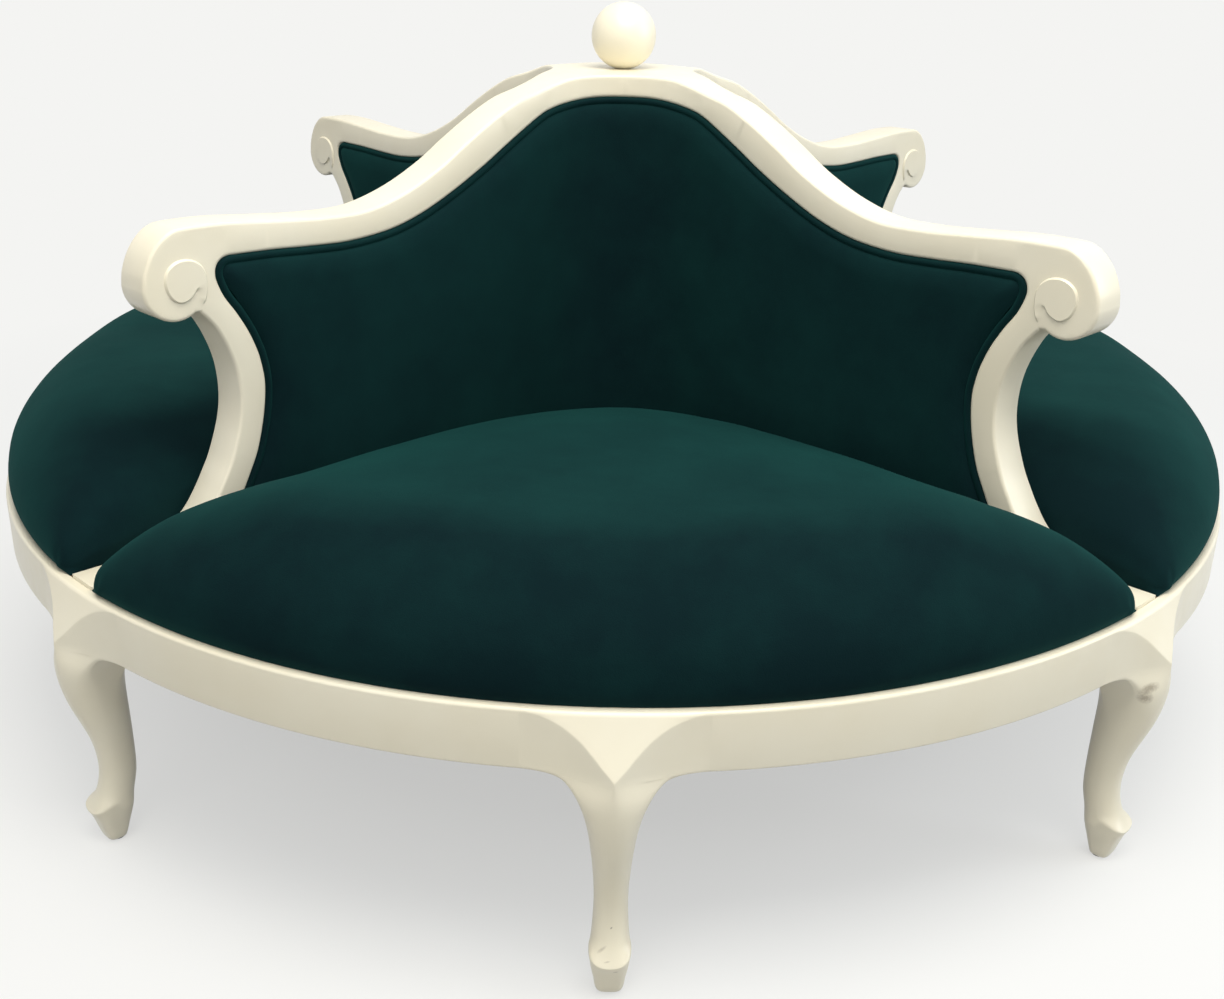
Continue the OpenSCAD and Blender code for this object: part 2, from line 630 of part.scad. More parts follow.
// The halves reach a little past the middle of the bend, where they join.
past_mitre = mitre_angle - 1;
module back_half() {
    back_edge = half_plan(board_back, wing_end, past_mitre);
    front_edge = half_plan(board_front, wing_end, past_mitre);
    intersection() {
        upright(concat(back_edge, backwards(front_edge)), sill_z, crest_z);
        side_wall(concat(moved(opening_line, ease),
            [[post_foot_in - ease, sill_z + ease], [0, sill_z + ease]]), fillet_at);
    }
}
module back_board(i) {
    color(plywood) at_seat(i) for (side = [0, 1]) mirror([side, 0, 0])
        rotate([0, 0, mitre_angle]) back_half();
}

// A back pad is a sheet of columns and rows wrapped round the same bend, thin at its edges.
pad_columns = 28;
pad_rows = 9;
// Below 1 it draws the columns closer together towards the pad's sides.
column_power = 0.85;
// The pad's side and top meet at this point of the opening's corner.
turn_at = 2;
side_line = concat(
    [for (k = [turn_at : len(corner_shares) - 1]) post_point(corner_shares[k])],
    [for (q = post_in_shares) post_point(q)]);
under_line = concat(
    [for (q = under_shares) under_point(q)], [for (k = [0 : turn_at]) post_point(corner_shares[k])]);
side_high = side_line[0][1];
side_low = sill_z + ease;
back_face = board_front + ease;
// Reads a line of points at a value of one of its coordinates.
function between(a, b, axis, v) =
    a[1 - axis] + (b[1 - axis] - a[1 - axis]) * (v - a[axis]) / (b[axis] - a[axis]);
function read_line(pts, axis, v) = let (
        last = pts[len(pts) - 1],
        hits = [for (i = [0 : len(pts) - 2]) let (a = pts[i], b = pts[i + 1])
            if ((a[axis] - v) * (b[axis] - v) <= 0 && a[axis] != b[axis]) between(a, b, axis, v)])
    len(hits) > 0 ? hits[0] : abs(v - pts[0][axis]) < abs(v - last[axis]) ? pts[0][1 - axis] : last[1 - axis];
function side_reach(z) = read_line(side_line, 1, z) - pad_ease;
function pad_grid(deep_edge, deep_mid) = [for (j = [0 : pad_rows]) for (i = [0 : pad_columns]) let (
        u = 2 * i / pad_columns - 1, v = j / pad_rows,
        z_side = side_low + v * (side_high - side_low),
        s = sign(u) * pow(abs(u), column_power) * side_reach(z_side),
        p0 = bend_point(s, half_t),
        z_top = read_line(under_line, 0, along_wing(p0)) - pad_ease,
        z = side_low + v * (z_top - side_low),
        edge = min(side_reach(z_side) - abs(s), z_top - z, z - side_low + back_turn / 2),
        deep = deep_edge + (deep_mid - deep_edge) * eased(edge / back_turn),
        p = bend_point(s, deep))
    [p[0], p[1], z]];
module back_pad(i) {
    c = pad_columns + 1;
    r = pad_rows + 1;
    n = c * r;
    rim = concat([for (k = [0 : c - 2]) k], [for (k = [0 : r - 2]) k * c + c - 1],
        [for (k = [c - 1 : -1 : 1]) (r - 1) * c + k], [for (k = [r - 1 : -1 : 1]) k * c]);
    color(velvet) at_seat(i) polyhedron(
        concat(pad_grid(half_t - back_tuck, half_t + back_crown), pad_grid(back_face, back_face)),
        concat(
            [for (j = [0 : r - 2]) for (k = [0 : c - 2]) let (a = j * c + k)
                each [[a, a + c, a + c + 1], [a, a + c + 1, a + 1]]],
            [for (j = [0 : r - 2]) for (k = [0 : c - 2]) let (a = n + j * c + k)
                each [[a, a + c + 1, a + c], [a, a + 1, a + c + 1]]],
            [for (k = [0 : len(rim) - 1]) let (a = rim[k], b = rim[(k + 1) % len(rim)])
                each [[a, b, b + n], [a, b + n, a + n]]]));
}

centre_post();
finial_ball();
hub_block();
top_rail(1);  // top_rail_1
top_rail(2);  // top_rail_2
top_rail(3);  // top_rail_3
top_rail(4);  // top_rail_4
end_post(1);  // end_post_1
end_post(2);  // end_post_2
end_post(3);  // end_post_3
end_post(4);  // end_post_4
wing_bearer(1);  // wing_bearer_1
wing_bearer(2);  // wing_bearer_2
wing_bearer(3);  // wing_bearer_3
wing_bearer(4);  // wing_bearer_4
seat_bearer(1);  // seat_bearer_1
seat_bearer(2);  // seat_bearer_2
seat_bearer(3);  // seat_bearer_3
seat_bearer(4);  // seat_bearer_4
leg(1);  // leg_1
leg(2);  // leg_2
leg(3);  // leg_3
leg(4);  // leg_4
leg(5);  // leg_5
leg(6);  // leg_6
leg(7);  // leg_7
leg(8);  // leg_8
apron_rail(1);  // apron_rail_1
apron_rail(2);  // apron_rail_2
apron_rail(3);  // apron_rail_3
apron_rail(4);  // apron_rail_4
apron_rail(5);  // apron_rail_5
apron_rail(6);  // apron_rail_6
apron_rail(7);  // apron_rail_7
apron_rail(8);  // apron_rail_8
seat_board(1);  // seat_board_1
seat_board(2);  // seat_board_2
seat_board(3);  // seat_board_3
seat_board(4);  // seat_board_4
seat_pad(1);  // seat_pad_1
seat_pad(2);  // seat_pad_2
seat_pad(3);  // seat_pad_3
seat_pad(4);  // seat_pad_4
back_board(1);  // back_board_1
back_board(2);  // back_board_2
back_board(3);  // back_board_3
back_board(4);  // back_board_4
back_pad(1);  // back_pad_1
back_pad(2);  // back_pad_2
back_pad(3);  // back_pad_3
back_pad(4);  // back_pad_4
corner_blocks();
corner_screws();
apron_dowels();
wing_dowels();
bearer_dowels();
dust_cover();
foot_glides();
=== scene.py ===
"""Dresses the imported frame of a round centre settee: lacquered wood, velvet, floor, light and camera."""
import math

import bmesh
import bpy
import numpy as np
from bpy.props import FloatProperty, FloatVectorProperty
from mathutils import Matrix, Vector, noise
from mathutils.geometry import delaunay_2d_cdt


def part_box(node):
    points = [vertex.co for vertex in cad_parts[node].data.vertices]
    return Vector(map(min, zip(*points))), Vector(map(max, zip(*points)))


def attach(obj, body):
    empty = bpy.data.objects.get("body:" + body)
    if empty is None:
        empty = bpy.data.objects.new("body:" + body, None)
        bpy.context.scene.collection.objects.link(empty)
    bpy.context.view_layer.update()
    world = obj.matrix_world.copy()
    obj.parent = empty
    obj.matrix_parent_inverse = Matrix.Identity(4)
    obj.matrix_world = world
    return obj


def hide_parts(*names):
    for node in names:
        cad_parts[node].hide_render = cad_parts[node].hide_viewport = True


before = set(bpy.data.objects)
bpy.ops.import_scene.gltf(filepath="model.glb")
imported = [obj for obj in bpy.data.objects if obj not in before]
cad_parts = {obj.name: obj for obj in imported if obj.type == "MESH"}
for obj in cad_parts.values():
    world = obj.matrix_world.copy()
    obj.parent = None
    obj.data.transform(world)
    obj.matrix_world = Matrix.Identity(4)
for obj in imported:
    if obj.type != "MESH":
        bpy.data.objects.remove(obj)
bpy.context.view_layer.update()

bl_info = {
    "name": "Round Settee",
    "version": (1, 0, 0),
    "blender": (4, 5, 0),
    "location": "3D View > Sidebar > Settee",
    "description": "Dresses the frame of a round settee with carved wood, velvet, floor and light",
    "category": "Object",
}

MM = 0.001
BODY = "root"
EIGHTH = math.radians(45)
# Corners closer than this are one corner.
SAME_PLACE = 2e-6
# Wings and seats are numbered 1 to 4, and legs and apron rails 1 to 8.
QUARTERS, EIGHTHS = range(1, 5), range(1, 9)


def linear(code):
    """The linear colour of an sRGB hex code."""
    parts = [int(code[i:i + 2], 16) / 255 for i in (1, 3, 5)]
    return tuple(c / 12.92 if c <= 0.04045 else ((c + 0.055) / 1.055) ** 2.4 for c in parts)


def length(name, description, default):
    """A size in metres that can be set from a tenth of its default to three times it."""
    return FloatProperty(name=name, description=description, default=default, min=default / 10,
                         max=default * 3, unit="LENGTH")


def colour(name, description, code):
    """A colour that a user can change."""
    return FloatVectorProperty(name=name, description=description, default=linear(code), size=3,
                               min=0, max=1, subtype="COLOR")


RAIL_BOX, POST_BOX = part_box("apron_rail_1"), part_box("centre_post")


class SetteeSizes(bpy.types.PropertyGroup):
    """Sizes of the settee's frame and upholstery."""
    ring_r: length("Ring radius", "Outer radius of the seat ring", 0.95)
    ring_top: length("Ring top", "Height of the ring's top edge", RAIL_BOX[1].z)
    ring_bottom: length("Ring bottom", "Height of the ring's lower edge", RAIL_BOX[0].z)
    apron_w: length("Apron thickness", "Radial thickness of the apron rails", 0.045)
    lip_w: length("Lip", "Width of the wood that shows outside the seat pads", 0.012)
    board_z: length("Board height", "Height of the rebate that the seat boards lie in", 0.36)
    arris: length("Ring arris", "Radius of the soft edges on the apron", 0.004)
    knee_out: length("Knee", "How far the knee's tip stands out past the ring", 0.032)
    knee_drop: length("Knee height", "Height of the knee's facet", 0.067)
    block_half: length("Leg block", "Half of a leg block's width", 0.1026)
    glide_h: length("Glide height", "Height of a foot glide", 0.0025)
    glide_r: length("Glide radius", "Radius of a foot glide", 0.009)
    glide_at: length("Glide place", "Distance from the axis to a foot glide", 0.93424)
    wing_t: length("Wing thickness", "Thickness of a wing's frame", 0.06)
    wing_arris: length("Wing arris", "Radius of the soft edges on a wing's frame", 0.0045)
    fillet_r: length("Wing fillet", "Radius of the curve that joins two wings", 0.16)
    crest_z: length("Crest height", "Height of the crest", POST_BOX[1].z)
    crest_rail_h: length("Crest rail", "Depth of the top rail at the crest", 0.0315)
    arm_z: length("Arm height", "Height of the arm's top", 0.8)
    arm_rail_h: length("Arm rail", "Depth of the top rail at the arm", 0.041)
    scroll_at: length("Scroll place", "Distance from the axis to the scroll's middle", 0.788)
    scroll_r: length("Scroll radius", "Radius of the scroll's curl", 0.042)
    scroll_drop: length("Scroll drop", "From the arm's top down to the scroll's middle", 0.07)
    scroll_relief: length("Scroll relief", "How far the carved scroll stands proud", 0.003)
    strip_up: length("Strip height", "Height of the strip between two seats over the ring", 0.005)
    strip_w: length("Strip width", "Width of the strip between two seats", 0.054)
    post_w: length("Centre post", "Side of the centre post", 0.09)
    ball_r: length("Ball radius", "Radius of the finial ball", 0.049)
    ball_flat_r: length("Ball flat", "Radius of the flat that the ball stands on", 0.011)
    pad_edge_h: length("Pad edge", "Height of a seat pad's upright edge", 0.03)
    pad_swell: length("Pad swell", "How far the pad's edge swells over the lip", 0.007)
    crown_h: length("Crown", "Height of the seat's crown over the ring", 0.15)
    crown_run: length("Crown run", "Distance from the ring's edge over which the seat rises", 0.132)
    wing_run: length("Wing run", "Distance from a wing over which the seat rises", 0.245)
    corner_run: length("Corner run", "Distance from the axis within which the seat drops", 0.49)
    pad_gap: length("Pad gap", "Space between a seat pad and its neighbours", 0.001)
    pad_corner: length("Pad corner", "Radius of a seat pad's front corners", 0.026)
    cloth_r: length("Dust cloth", "Radius of the cloth under the frame", 0.9275)
    cloth_sag: length("Cloth sag", "How far the cloth under the frame sags in the middle", 0.007)
    cloth_t: length("Cloth thickness", "Thickness of the cloth under the frame", 0.0006)
    back_crown: length("Back crown", "How far a back pad stands in front of the frame", 0.007)
    back_turn: length("Back turn", "Distance over which a back pad's edge turns in", 0.03)
    welt_r: length("Welt radius", "Radius of the welt round a back pad", 0.0054)
    welt_in: length("Welt place", "From the frame's edge to the welt's middle", 0.0050)


class SetteeColours(bpy.types.PropertyGroup):
    """Colours of the settee's finishes."""
    lacquer: colour("Lacquer", "Ivory lacquer", "#EFE8D2")
    lacquer_aged: colour("Aged lacquer", "Ivory lacquer where it has yellowed", "#E6DCC0")
    # The velvet's colour face on, and the lighter colour that its painted sheen at a slant and its brushed
    # patches turn it towards.
    velvet: colour("Velvet", "Velvet seen face on", "#0A1F22")
    velvet_nap_and_painted_sheen: colour("Velvet nap and painted sheen", "Velvet seen at a slant", "#133836")
    velvet_sheen: colour("Velvet sheen", "Light caught by the tips of the pile", "#2F8A86")
    beech: colour("Beech", "Raw beech of the frame inside", "#C9A477")
    beech_dark: colour("Beech flecks", "Grain of the raw beech", "#A97F52")
    plywood: colour("Plywood", "Birch plywood boards", "#C4A06F")
    zinc: colour("Zinc", "Zinc-plated screws", "#B9BDC0")
    cloth: colour("Dust cloth", "Black cloth under the frame", "#1E1E1F")
    nylon: colour("Nylon", "Moulded foot glides", "#6E6A66")
    scuff: colour("Scuff", "Marks in the lacquer", "#7A6A54")
    floor: colour("Floor", "Plain floor and backdrop", "#F4F4F2")


# Shares along the wing run from the axis, 0, to the scroll's middle, 1.
# Heights of the crest line: 0 at the arm's top, 1 at the crest.
CREST_SHARES = [
    (0, 1), (0.1, 1), (0.145, 0.993), (0.18, 0.972), (0.212, 0.925), (0.253, 0.86), (0.303, 0.785),
    (0.36, 0.64), (0.421, 0.452), (0.485, 0.24), (0.562, 0.052), (0.643, -0.06), (0.728, -0.068),
    (0.811, -0.038), (0.906, 0.004)]
# Heights of the rail's lower edge: 0 under the arm, 1 under the crest.
UNDER_SHARES = [
    (0, 1), (0.107, 1), (0.146, 0.99), (0.18, 0.96), (0.211, 0.922), (0.24, 0.873), (0.276, 0.78),
    (0.331, 0.619), (0.388, 0.448), (0.459, 0.26), (0.529, 0.106), (0.597, 0.01), (0.678, -0.034),
    (0.754, -0.026), (0.827, -0.007)]
# Heights down the end post: 0 at the ring's top edge, 1 under the arm.
CORNER_SHARES = [
    (0.891, 1), (0.905, 1), (0.9175, 0.993), (0.9265, 0.975), (0.93, 0.95), (0.928, 0.92)]
POST_IN_SHARES = [
    (0.9175, 0.869), (0.899, 0.8125), (0.881, 0.747), (0.869, 0.688), (0.862, 0.638), (0.857, 0.557),
    (0.863, 0.45), (0.879, 0.33), (0.898, 0.247), (0.92, 0.165), (0.945, 0.088)]
POST_OUT_SHARES = [
    (0.962, 0.833), (0.935, 0.763), (0.912, 0.648), (0.905, 0.536), (0.911, 0.431), (0.931, 0.315),
    (0.949, 0.245), (0.967, 0.185), (0.99, 0.125), (1.022, 0.078), (1.065, 0.04)]
# The nose over the curl, from the scroll's middle in curl radii.
NOSE_SHARES = [(-0.45, 1.69), (0, 1.61), (0.38, 1.36), (0.7, 0.97), (0.93, 0.45), (1, 0)]
# The carved scroll's line: degrees clockwise from its start, and distance from its own middle.
VOLUTE_MIDDLE = (-0.010, 0.005)
VOLUTE_START = -123.8
VOLUTE_TURN = 396
VOLUTE_LINE = [
    (0, 40.4), (40, 33), (85, 31.8), (113, 30.1), (141, 28.4), (170, 27.5), (201, 26.6), (229, 25),
    (258, 24.3), (288, 25.3), (315, 25.4), (345, 22.5), (380, 20.4), (396, 21.6)]
OUTLINE_STEPS = 8
ARRIS_STEPS = 4

# A leg from the foot up, in millimetres: height, then the front, back and half width there.
FOOT_FRONT = [
    (2.5, 944), (5, 949.5), (12, 952.6), (19, 954.6), (32, 958.6), (42, 962.2), (50, 966.4), (52.6, 967)]
SHIN_FRONT = [
    (53.4, 966.6), (58, 963.2), (66.5, 957.6), (77, 952), (90, 948), (103, 946), (117, 945.7),
    (131, 947), (146, 949.5), (162, 953.8), (178, 959.5), (209, 971), (228, 976.6), (246, 980.4),
    (265, 982.6), (280, 983), (291, 982.4), (300, 982), (308, 982)]
LEG_BACK = [
    (2.5, 926), (6, 925), (25, 919), (53, 911), (85, 901.5), (104, 898.4), (136, 897.8), (180, 898.7),
    (221, 900.2), (260, 901), (300, 903)]
LEG_HALF_WIDTH = [
    (2.5, 10.5), (4, 13), (7, 15.7), (14, 17.6), (25, 19), (40, 22.2), (47, 23.6), (53, 24.6),
    (59, 24.2), (66, 23), (78, 21.6), (92, 20.6), (104, 20), (117, 19.8), (137, 20.2), (157, 21.5),
    (173, 22.6), (190, 24.2), (207, 26), (223, 28), (236, 30.2), (247, 32.3), (258, 35), (269, 38.8),
    (277, 42.6), (285, 47.6), (292, 54), (296, 60), (298.6, 70), (299.6, 84), (300, 102.6)]
# The flank beside the knee: distance from its ridge, and how far it stands out of the ring's face.
FLANK_OUT = [
    (0, 32), (13.7, 24.8), (24, 19.1), (37, 12.9), (54, 7.2), (73, 3.1), (88, 0.95), (96, 0.16), (102.6, 0)]
# Half width of the knee's facet at a depth under the ring's top edge.
FACET_HALF = [(0, 101), (2, 97), (7.4, 73), (15, 54), (27, 37), (40, 24), (52, 13.7), (62, 4.5), (67, 1.2)]


def curve_through(points, steps=OUTLINE_STEPS):
    """A smooth line through points, each stretch a cubic that follows its neighbours."""
    p = np.asarray(points, float)
    line = []
    for i in range(len(p) - 1):
        a, b, c, d = p[max(i - 1, 0)], p[i], p[i + 1], p[min(i + 2, len(p) - 1)]
        for t in np.arange(steps) / steps:
            line.append(0.5 * (2 * b + (c - a) * t + (2 * a - 5 * b + 4 * c - d) * t ** 2
                               + (3 * b - 3 * c + d - a) * t ** 3))
    return np.array(line + [p[-1]])


def read_curve(table, at):
    """Reads a smooth curve through a table of (place, value), at other places."""
    line = curve_through(table)
    return np.interp(at, line[:, 0], line[:, 1])


def smoothstep(t):
    """Rises from 0 to 1 with level ends."""
    t = np.clip(t, 0, 1)
    return t * t * (3 - 2 * t)


def quarter_round(t, power=1.7):
    """Rises steeply from 0 and levels off at 1."""
    return (1 - (1 - np.clip(t, 0, 1)) ** power) ** (1 / power)


def soft_rise(away, run):
    """Rises like a quarter round over a run, its end blended softly into the level part."""
    window = 0.3 * run * smoothstep(away / run)
    return np.mean([quarter_round((away + k * window) / run) for k in (-1, -0.5, 0, 0.5, 1)], axis=0)


class Skin:
    """Gathers faces by the places of their corners, and joins corners that share a place."""

    def __init__(self):
        self.points, self.faces, self.known = [], [], {}

    def corner(self, place):
        """The number of the corner at a place."""
        key = tuple(int(round(c / SAME_PLACE)) for c in place)
        if key not in self.known:
            self.known[key] = len(self.points)
            self.points.append(tuple(place))
        return self.known[key]

    def face(self, places):
        """Adds one face."""
        corners = [self.corner(p) for p in places]
        corners = [c for i, c in enumerate(corners) if c != corners[i - 1]]
        if len(set(corners)) > 2:
            self.faces.append(corners)

    def sheet(self, grid, closed=False):
        """Adds the faces of a grid of places, its columns joined round if it is closed."""
        rows, columns = len(grid), len(grid[0])
        for j in range(rows - 1):
            for k in range(columns if closed else columns - 1):
                m = (k + 1) % columns
                self.face([grid[j][k], grid[j][m], grid[j + 1][m], grid[j + 1][k]])

    def mesh(self, name):
        """The closed skin as a mesh whose faces point outwards."""
        mesh = bpy.data.meshes.new(name)
        mesh.from_pydata(self.points, [], self.faces)
        rebuilt = bmesh.new()
        rebuilt.from_mesh(mesh)
        bmesh.ops.recalc_face_normals(rebuilt, faces=rebuilt.faces)
        rebuilt.to_mesh(mesh)
        rebuilt.free()
        return mesh


def linked(name, data):
    """A new object in the scene, made of the data."""
    thing = bpy.data.objects.new(name, data)
    bpy.context.scene.collection.objects.link(thing)
    return thing


def add_piece(name, mesh, material, nodes=(), sharp=math.radians(35), turn=0.0):
    """Makes an object of a mesh, turned about the axis, in the CAD nodes' place."""
    own = mesh.copy()
    own.transform(Matrix.Rotation(turn, 4, "Z"))
    own.name = name
    own.materials.clear()
    own.materials.append(material)
    own.shade_smooth()
    if sharp:
        own.set_sharp_from_angle(angle=sharp)
    piece = linked(name, own)
    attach(piece, BODY)
    if nodes:
        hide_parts(*nodes)
    return piece


def wing_turn(number):
    """The direction of a wing; wing 1 stands to the right of the front seat."""
    return 2 * EIGHTH * number - 3 * EIGHTH


def seat_turn(number):
    """The turn of a seat from the front one."""
    return 2 * EIGHTH * (number - 1)


def leg_turn(number):
    """The direction of a leg; leg 1 stands at the front."""
    return EIGHTH * (number - 1) - 2 * EIGHTH


# The wings' frame

# Sine of the angle that a wing's face bends through: 45 degrees to the mitre, and a little more.
BEND_END = 0.72
# On a wing's face: the points' spacing, and their least distance from the outline and the scroll's line.
FACE_STEP, SCROLL_STEP = 7 * MM, 5 * MM
FROM_OUTLINE, FROM_SCROLL_LINE = 1.4 * MM, 2.5 * MM


def fillet_at(size):
    """Distance from the axis at which a wing's face starts to bend into the next wing."""
    return size.fillet_r + size.wing_t / 2


def mitre_at(size):
    """Distance from the axis at which a wing's face meets the next wing's."""
    return fillet_at(size) - size.fillet_r / math.sqrt(2)


def strip_end(size):
    """Where the strip between two seats stops, a hair short of its leg block."""
    lip = size.ring_r - size.lip_w
    return math.sqrt(lip ** 2 - size.strip_w ** 2 / 4) - 0.05 * MM


def strip_start(size):
    """Where the end post's outer curve has run out into the strip."""
    return (size.scroll_at + strip_end(size) + size.scroll_r) / 2


def scroll_middle(size):
    """The middle of the scroll's curl, seen from the side."""
    return np.array([size.scroll_at, size.arm_z - size.scroll_drop])


def cut_at(line, s):
    """A line from the place where it passes a distance from the axis."""
    i = int(np.argmax(line[:, 0] > s + SAME_PLACE))
    a, b = line[i - 1], line[i]
    z = a[1] + (b[1] - a[1]) * (s - a[0]) / (b[0] - a[0])
    return np.vstack([[s, z], line[i:]])


def wing_edges(size):
    """A wing's outer and inner edge seen from the side, and where the joint meets each."""
    def place(shares, low, high):
        return [(s * size.scroll_at, low + q * (high - low)) for s, q in shares]

    middle = scroll_middle(size)
    arm_under = size.arm_z - size.arm_rail_h
    crest = curve_through(place(CREST_SHARES, size.arm_z, size.crest_z)
                          + [tuple(middle + size.scroll_r * np.array(q)) for q in NOSE_SHARES])
    post_out = place(POST_OUT_SHARES, size.ring_top, arm_under)
    crotch = np.array(post_out[0])
    # The curl runs from just under the nose round to just past the crotch.
    first, last = math.radians(-4), math.atan2(*(crotch - middle)[::-1]) + math.radians(6)
    curl = [middle + size.scroll_r * np.array([math.cos(a), math.sin(a)])
            for a in np.linspace(first, last, 36)]
    strip_z = size.ring_top + size.strip_up
    leg = curve_through(post_out + [(strip_start(size), strip_z)])
    end = strip_end(size)
    outer = cut_at(np.vstack([crest, curl, leg, [[end, strip_z], [end, size.board_z]]]), mitre_at(size))
    opening = curve_through(
        place(UNDER_SHARES, arm_under, size.crest_z - size.crest_rail_h)
        + place(CORNER_SHARES + POST_IN_SHARES, size.ring_top, arm_under))
    joint = opening[OUTLINE_STEPS * (len(UNDER_SHARES) + len(CORNER_SHARES))]
    inner = cut_at(np.vstack([opening, [[opening[-1][0], size.board_z]]]), mitre_at(size))
    return (outer, inner, int(np.abs(outer - crotch).sum(1).argmin()),
            int(np.abs(inner - joint).sum(1).argmin()))


def ways_in(line, side):
    """For each point of a line, the way into the wood that keeps the stretches beside it parallel."""
    along = np.diff(line, axis=0)
    along /= np.linalg.norm(along, axis=1)[:, None]
    ways = side * np.column_stack([along[:, 1], -along[:, 0]])
    before, after = np.vstack([ways[:1], ways]), np.vstack([ways, ways[-1:]])
    return (before + after) / (1 + (before * after).sum(1))[:, None]


def on_wing(size, points, behind):
    """Places on a wing's face, or behind it, for points seen from the side."""
    s, z = points[..., 0], points[..., 1]
    bend, half = fillet_at(size), size.wing_t / 2
    share = np.clip((bend - s) / size.fillet_r, 0, BEND_END)
    narrow = np.clip((s - size.scroll_at) / (strip_start(size) - size.scroll_at), 0, 1)
    x = np.where(s < bend, bend - (size.fillet_r + behind) * share, s)
    y = np.where(s < bend, bend - (size.fillet_r + behind) * np.sqrt(1 - share ** 2),
                 half + (size.strip_w / 2 - half) * narrow - behind)
    return np.stack([x, y, z + 0 * x], axis=-1)


def edge_sections(size, line, ways):
    """Rows of places from one face of the wood round its two soft arrises to the other face."""
    rows = []
    for turn in np.linspace(math.pi / 2, 0, ARRIS_STEPS + 1):
        inset = size.wing_arris * (1 - math.cos(turn))
        rows.append(on_wing(size, line + ways * inset, size.wing_arris * (1 - math.sin(turn))))
    left = np.stack(rows, axis=1)
    return np.concatenate([left, left[:, ::-1] * (1, -1, 1)], axis=1)


def volute_height(size, points):
    """How far the carved scroll stands out of the face at points seen from the side."""
    gap = points - (scroll_middle(size) + VOLUTE_MIDDLE)
    r = np.linalg.norm(gap, axis=1)
    turn = np.mod(VOLUTE_START - np.degrees(np.arctan2(gap[:, 1], gap[:, 0])), 360)
    bevel = 2.2 * MM
    first = MM * read_curve(VOLUTE_LINE, turn)
    second = MM * read_curve(VOLUTE_LINE, np.minimum(turn + 360, VOLUTE_TURN))
    inside_first, inside_second = smoothstep((first - r) / bevel), smoothstep((second - r) / bevel)
    # Over the first few degrees the ribbon comes up out of the wood and its trough runs out.
    starts, ends = smoothstep(turn / 16), 1 - smoothstep((turn - 14) / 22)
    trough = np.clip((first - r) / np.maximum(first - second, MM), 0, 1) * ends
    ribbon = inside_second + (1 - inside_second) * starts * inside_first * (1 - trough)
    return size.scroll_relief * np.where(turn < VOLUTE_TURN - 360, ribbon, inside_first)


def volute_points(size):
    """Rows of points along the carved scroll's line, so that its step is crisp."""
    middle = scroll_middle(size) + VOLUTE_MIDDLE
    turns = np.arange(2, VOLUTE_TURN, 2.6)
    reach = MM * read_curve(VOLUTE_LINE, turns)
    angles = np.radians(VOLUTE_START - turns)
    ray = np.column_stack([np.cos(angles), np.sin(angles)])
    inwards = MM * np.array([-1.2, 0, 0.7, 1.5, 2.2, 3.4])
    return np.vstack([middle + ray * (reach - back)[:, None] for back in inwards])


def inside(points, outline, margin):
    """Which points lie inside an outline and no closer to it than a margin."""
    a, b = outline, np.roll(outline, -1, axis=0)
    x, y = points[:, :1], points[:, 1:]
    crosses = (a[:, 1] > y) != (b[:, 1] > y)
    rise = np.where(a[:, 1] == b[:, 1], 1, b[:, 1] - a[:, 1])
    odd = (crosses & (x < a[:, 0] + (y - a[:, 1]) * (b[:, 0] - a[:, 0]) / rise)).sum(1) % 2 == 1
    way = b - a
    t = np.clip(((x - a[:, 0]) * way[:, 0] + (y - a[:, 1]) * way[:, 1]) / (way ** 2).sum(1), 0, 1)
    gap = np.hypot(x - a[:, 0] - t * way[:, 0], y - a[:, 1] - t * way[:, 1]).min(1)
    return odd & (gap > margin)


def lattice(low, high, step):
    """A grid of points between two corners."""
    x, y = np.meshgrid(np.arange(low[0], high[0], step), np.arange(low[1], high[1], step))
    return np.column_stack([x.ravel(), y.ravel()])


def wing_face(size, skin, outline, scroll):
    """Adds the two side faces that an outline encloses, with the carved scroll on them."""
    s, z = outline.T
    points = [lattice((mitre_at(size), z.min()), (fillet_at(size) + 4 * MM, z.max()), FACE_STEP)]
    if scroll:
        middle, rings = scroll_middle(size), volute_points(size)
        loose = lattice(middle - 70 * MM, middle + 90 * MM, SCROLL_STEP)
        far = np.linalg.norm(loose[:, None] - rings[None], axis=2).min(1) > FROM_SCROLL_LINE
        points += [rings, loose[far]]
    points = np.vstack(points)
    points = points[inside(points, outline, FROM_OUTLINE)]
    area = (s * np.roll(z, -1) - z * np.roll(s, -1)).sum()
    ring = outline if area > 0 else outline[::-1]
    flat = np.vstack([ring, points]) / MM
    places, _, faces, origin, _, _ = delaunay_2d_cdt(
        [Vector(p) for p in flat], [], [list(range(len(ring)))], 1, 1e-4)
    places = np.array([tuple(p) for p in places]) * MM
    height = volute_height(size, places) if scroll else np.zeros(len(places))
    on_edge = [any(o < len(ring) for o in old) for old in origin]
    height[np.array(on_edge)] = 0
    left = on_wing(size, places, -height)
    for side in (1, -1):
        face = left * (1, side, 1)
        for corners in faces:
            skin.face([face[c] for c in corners])


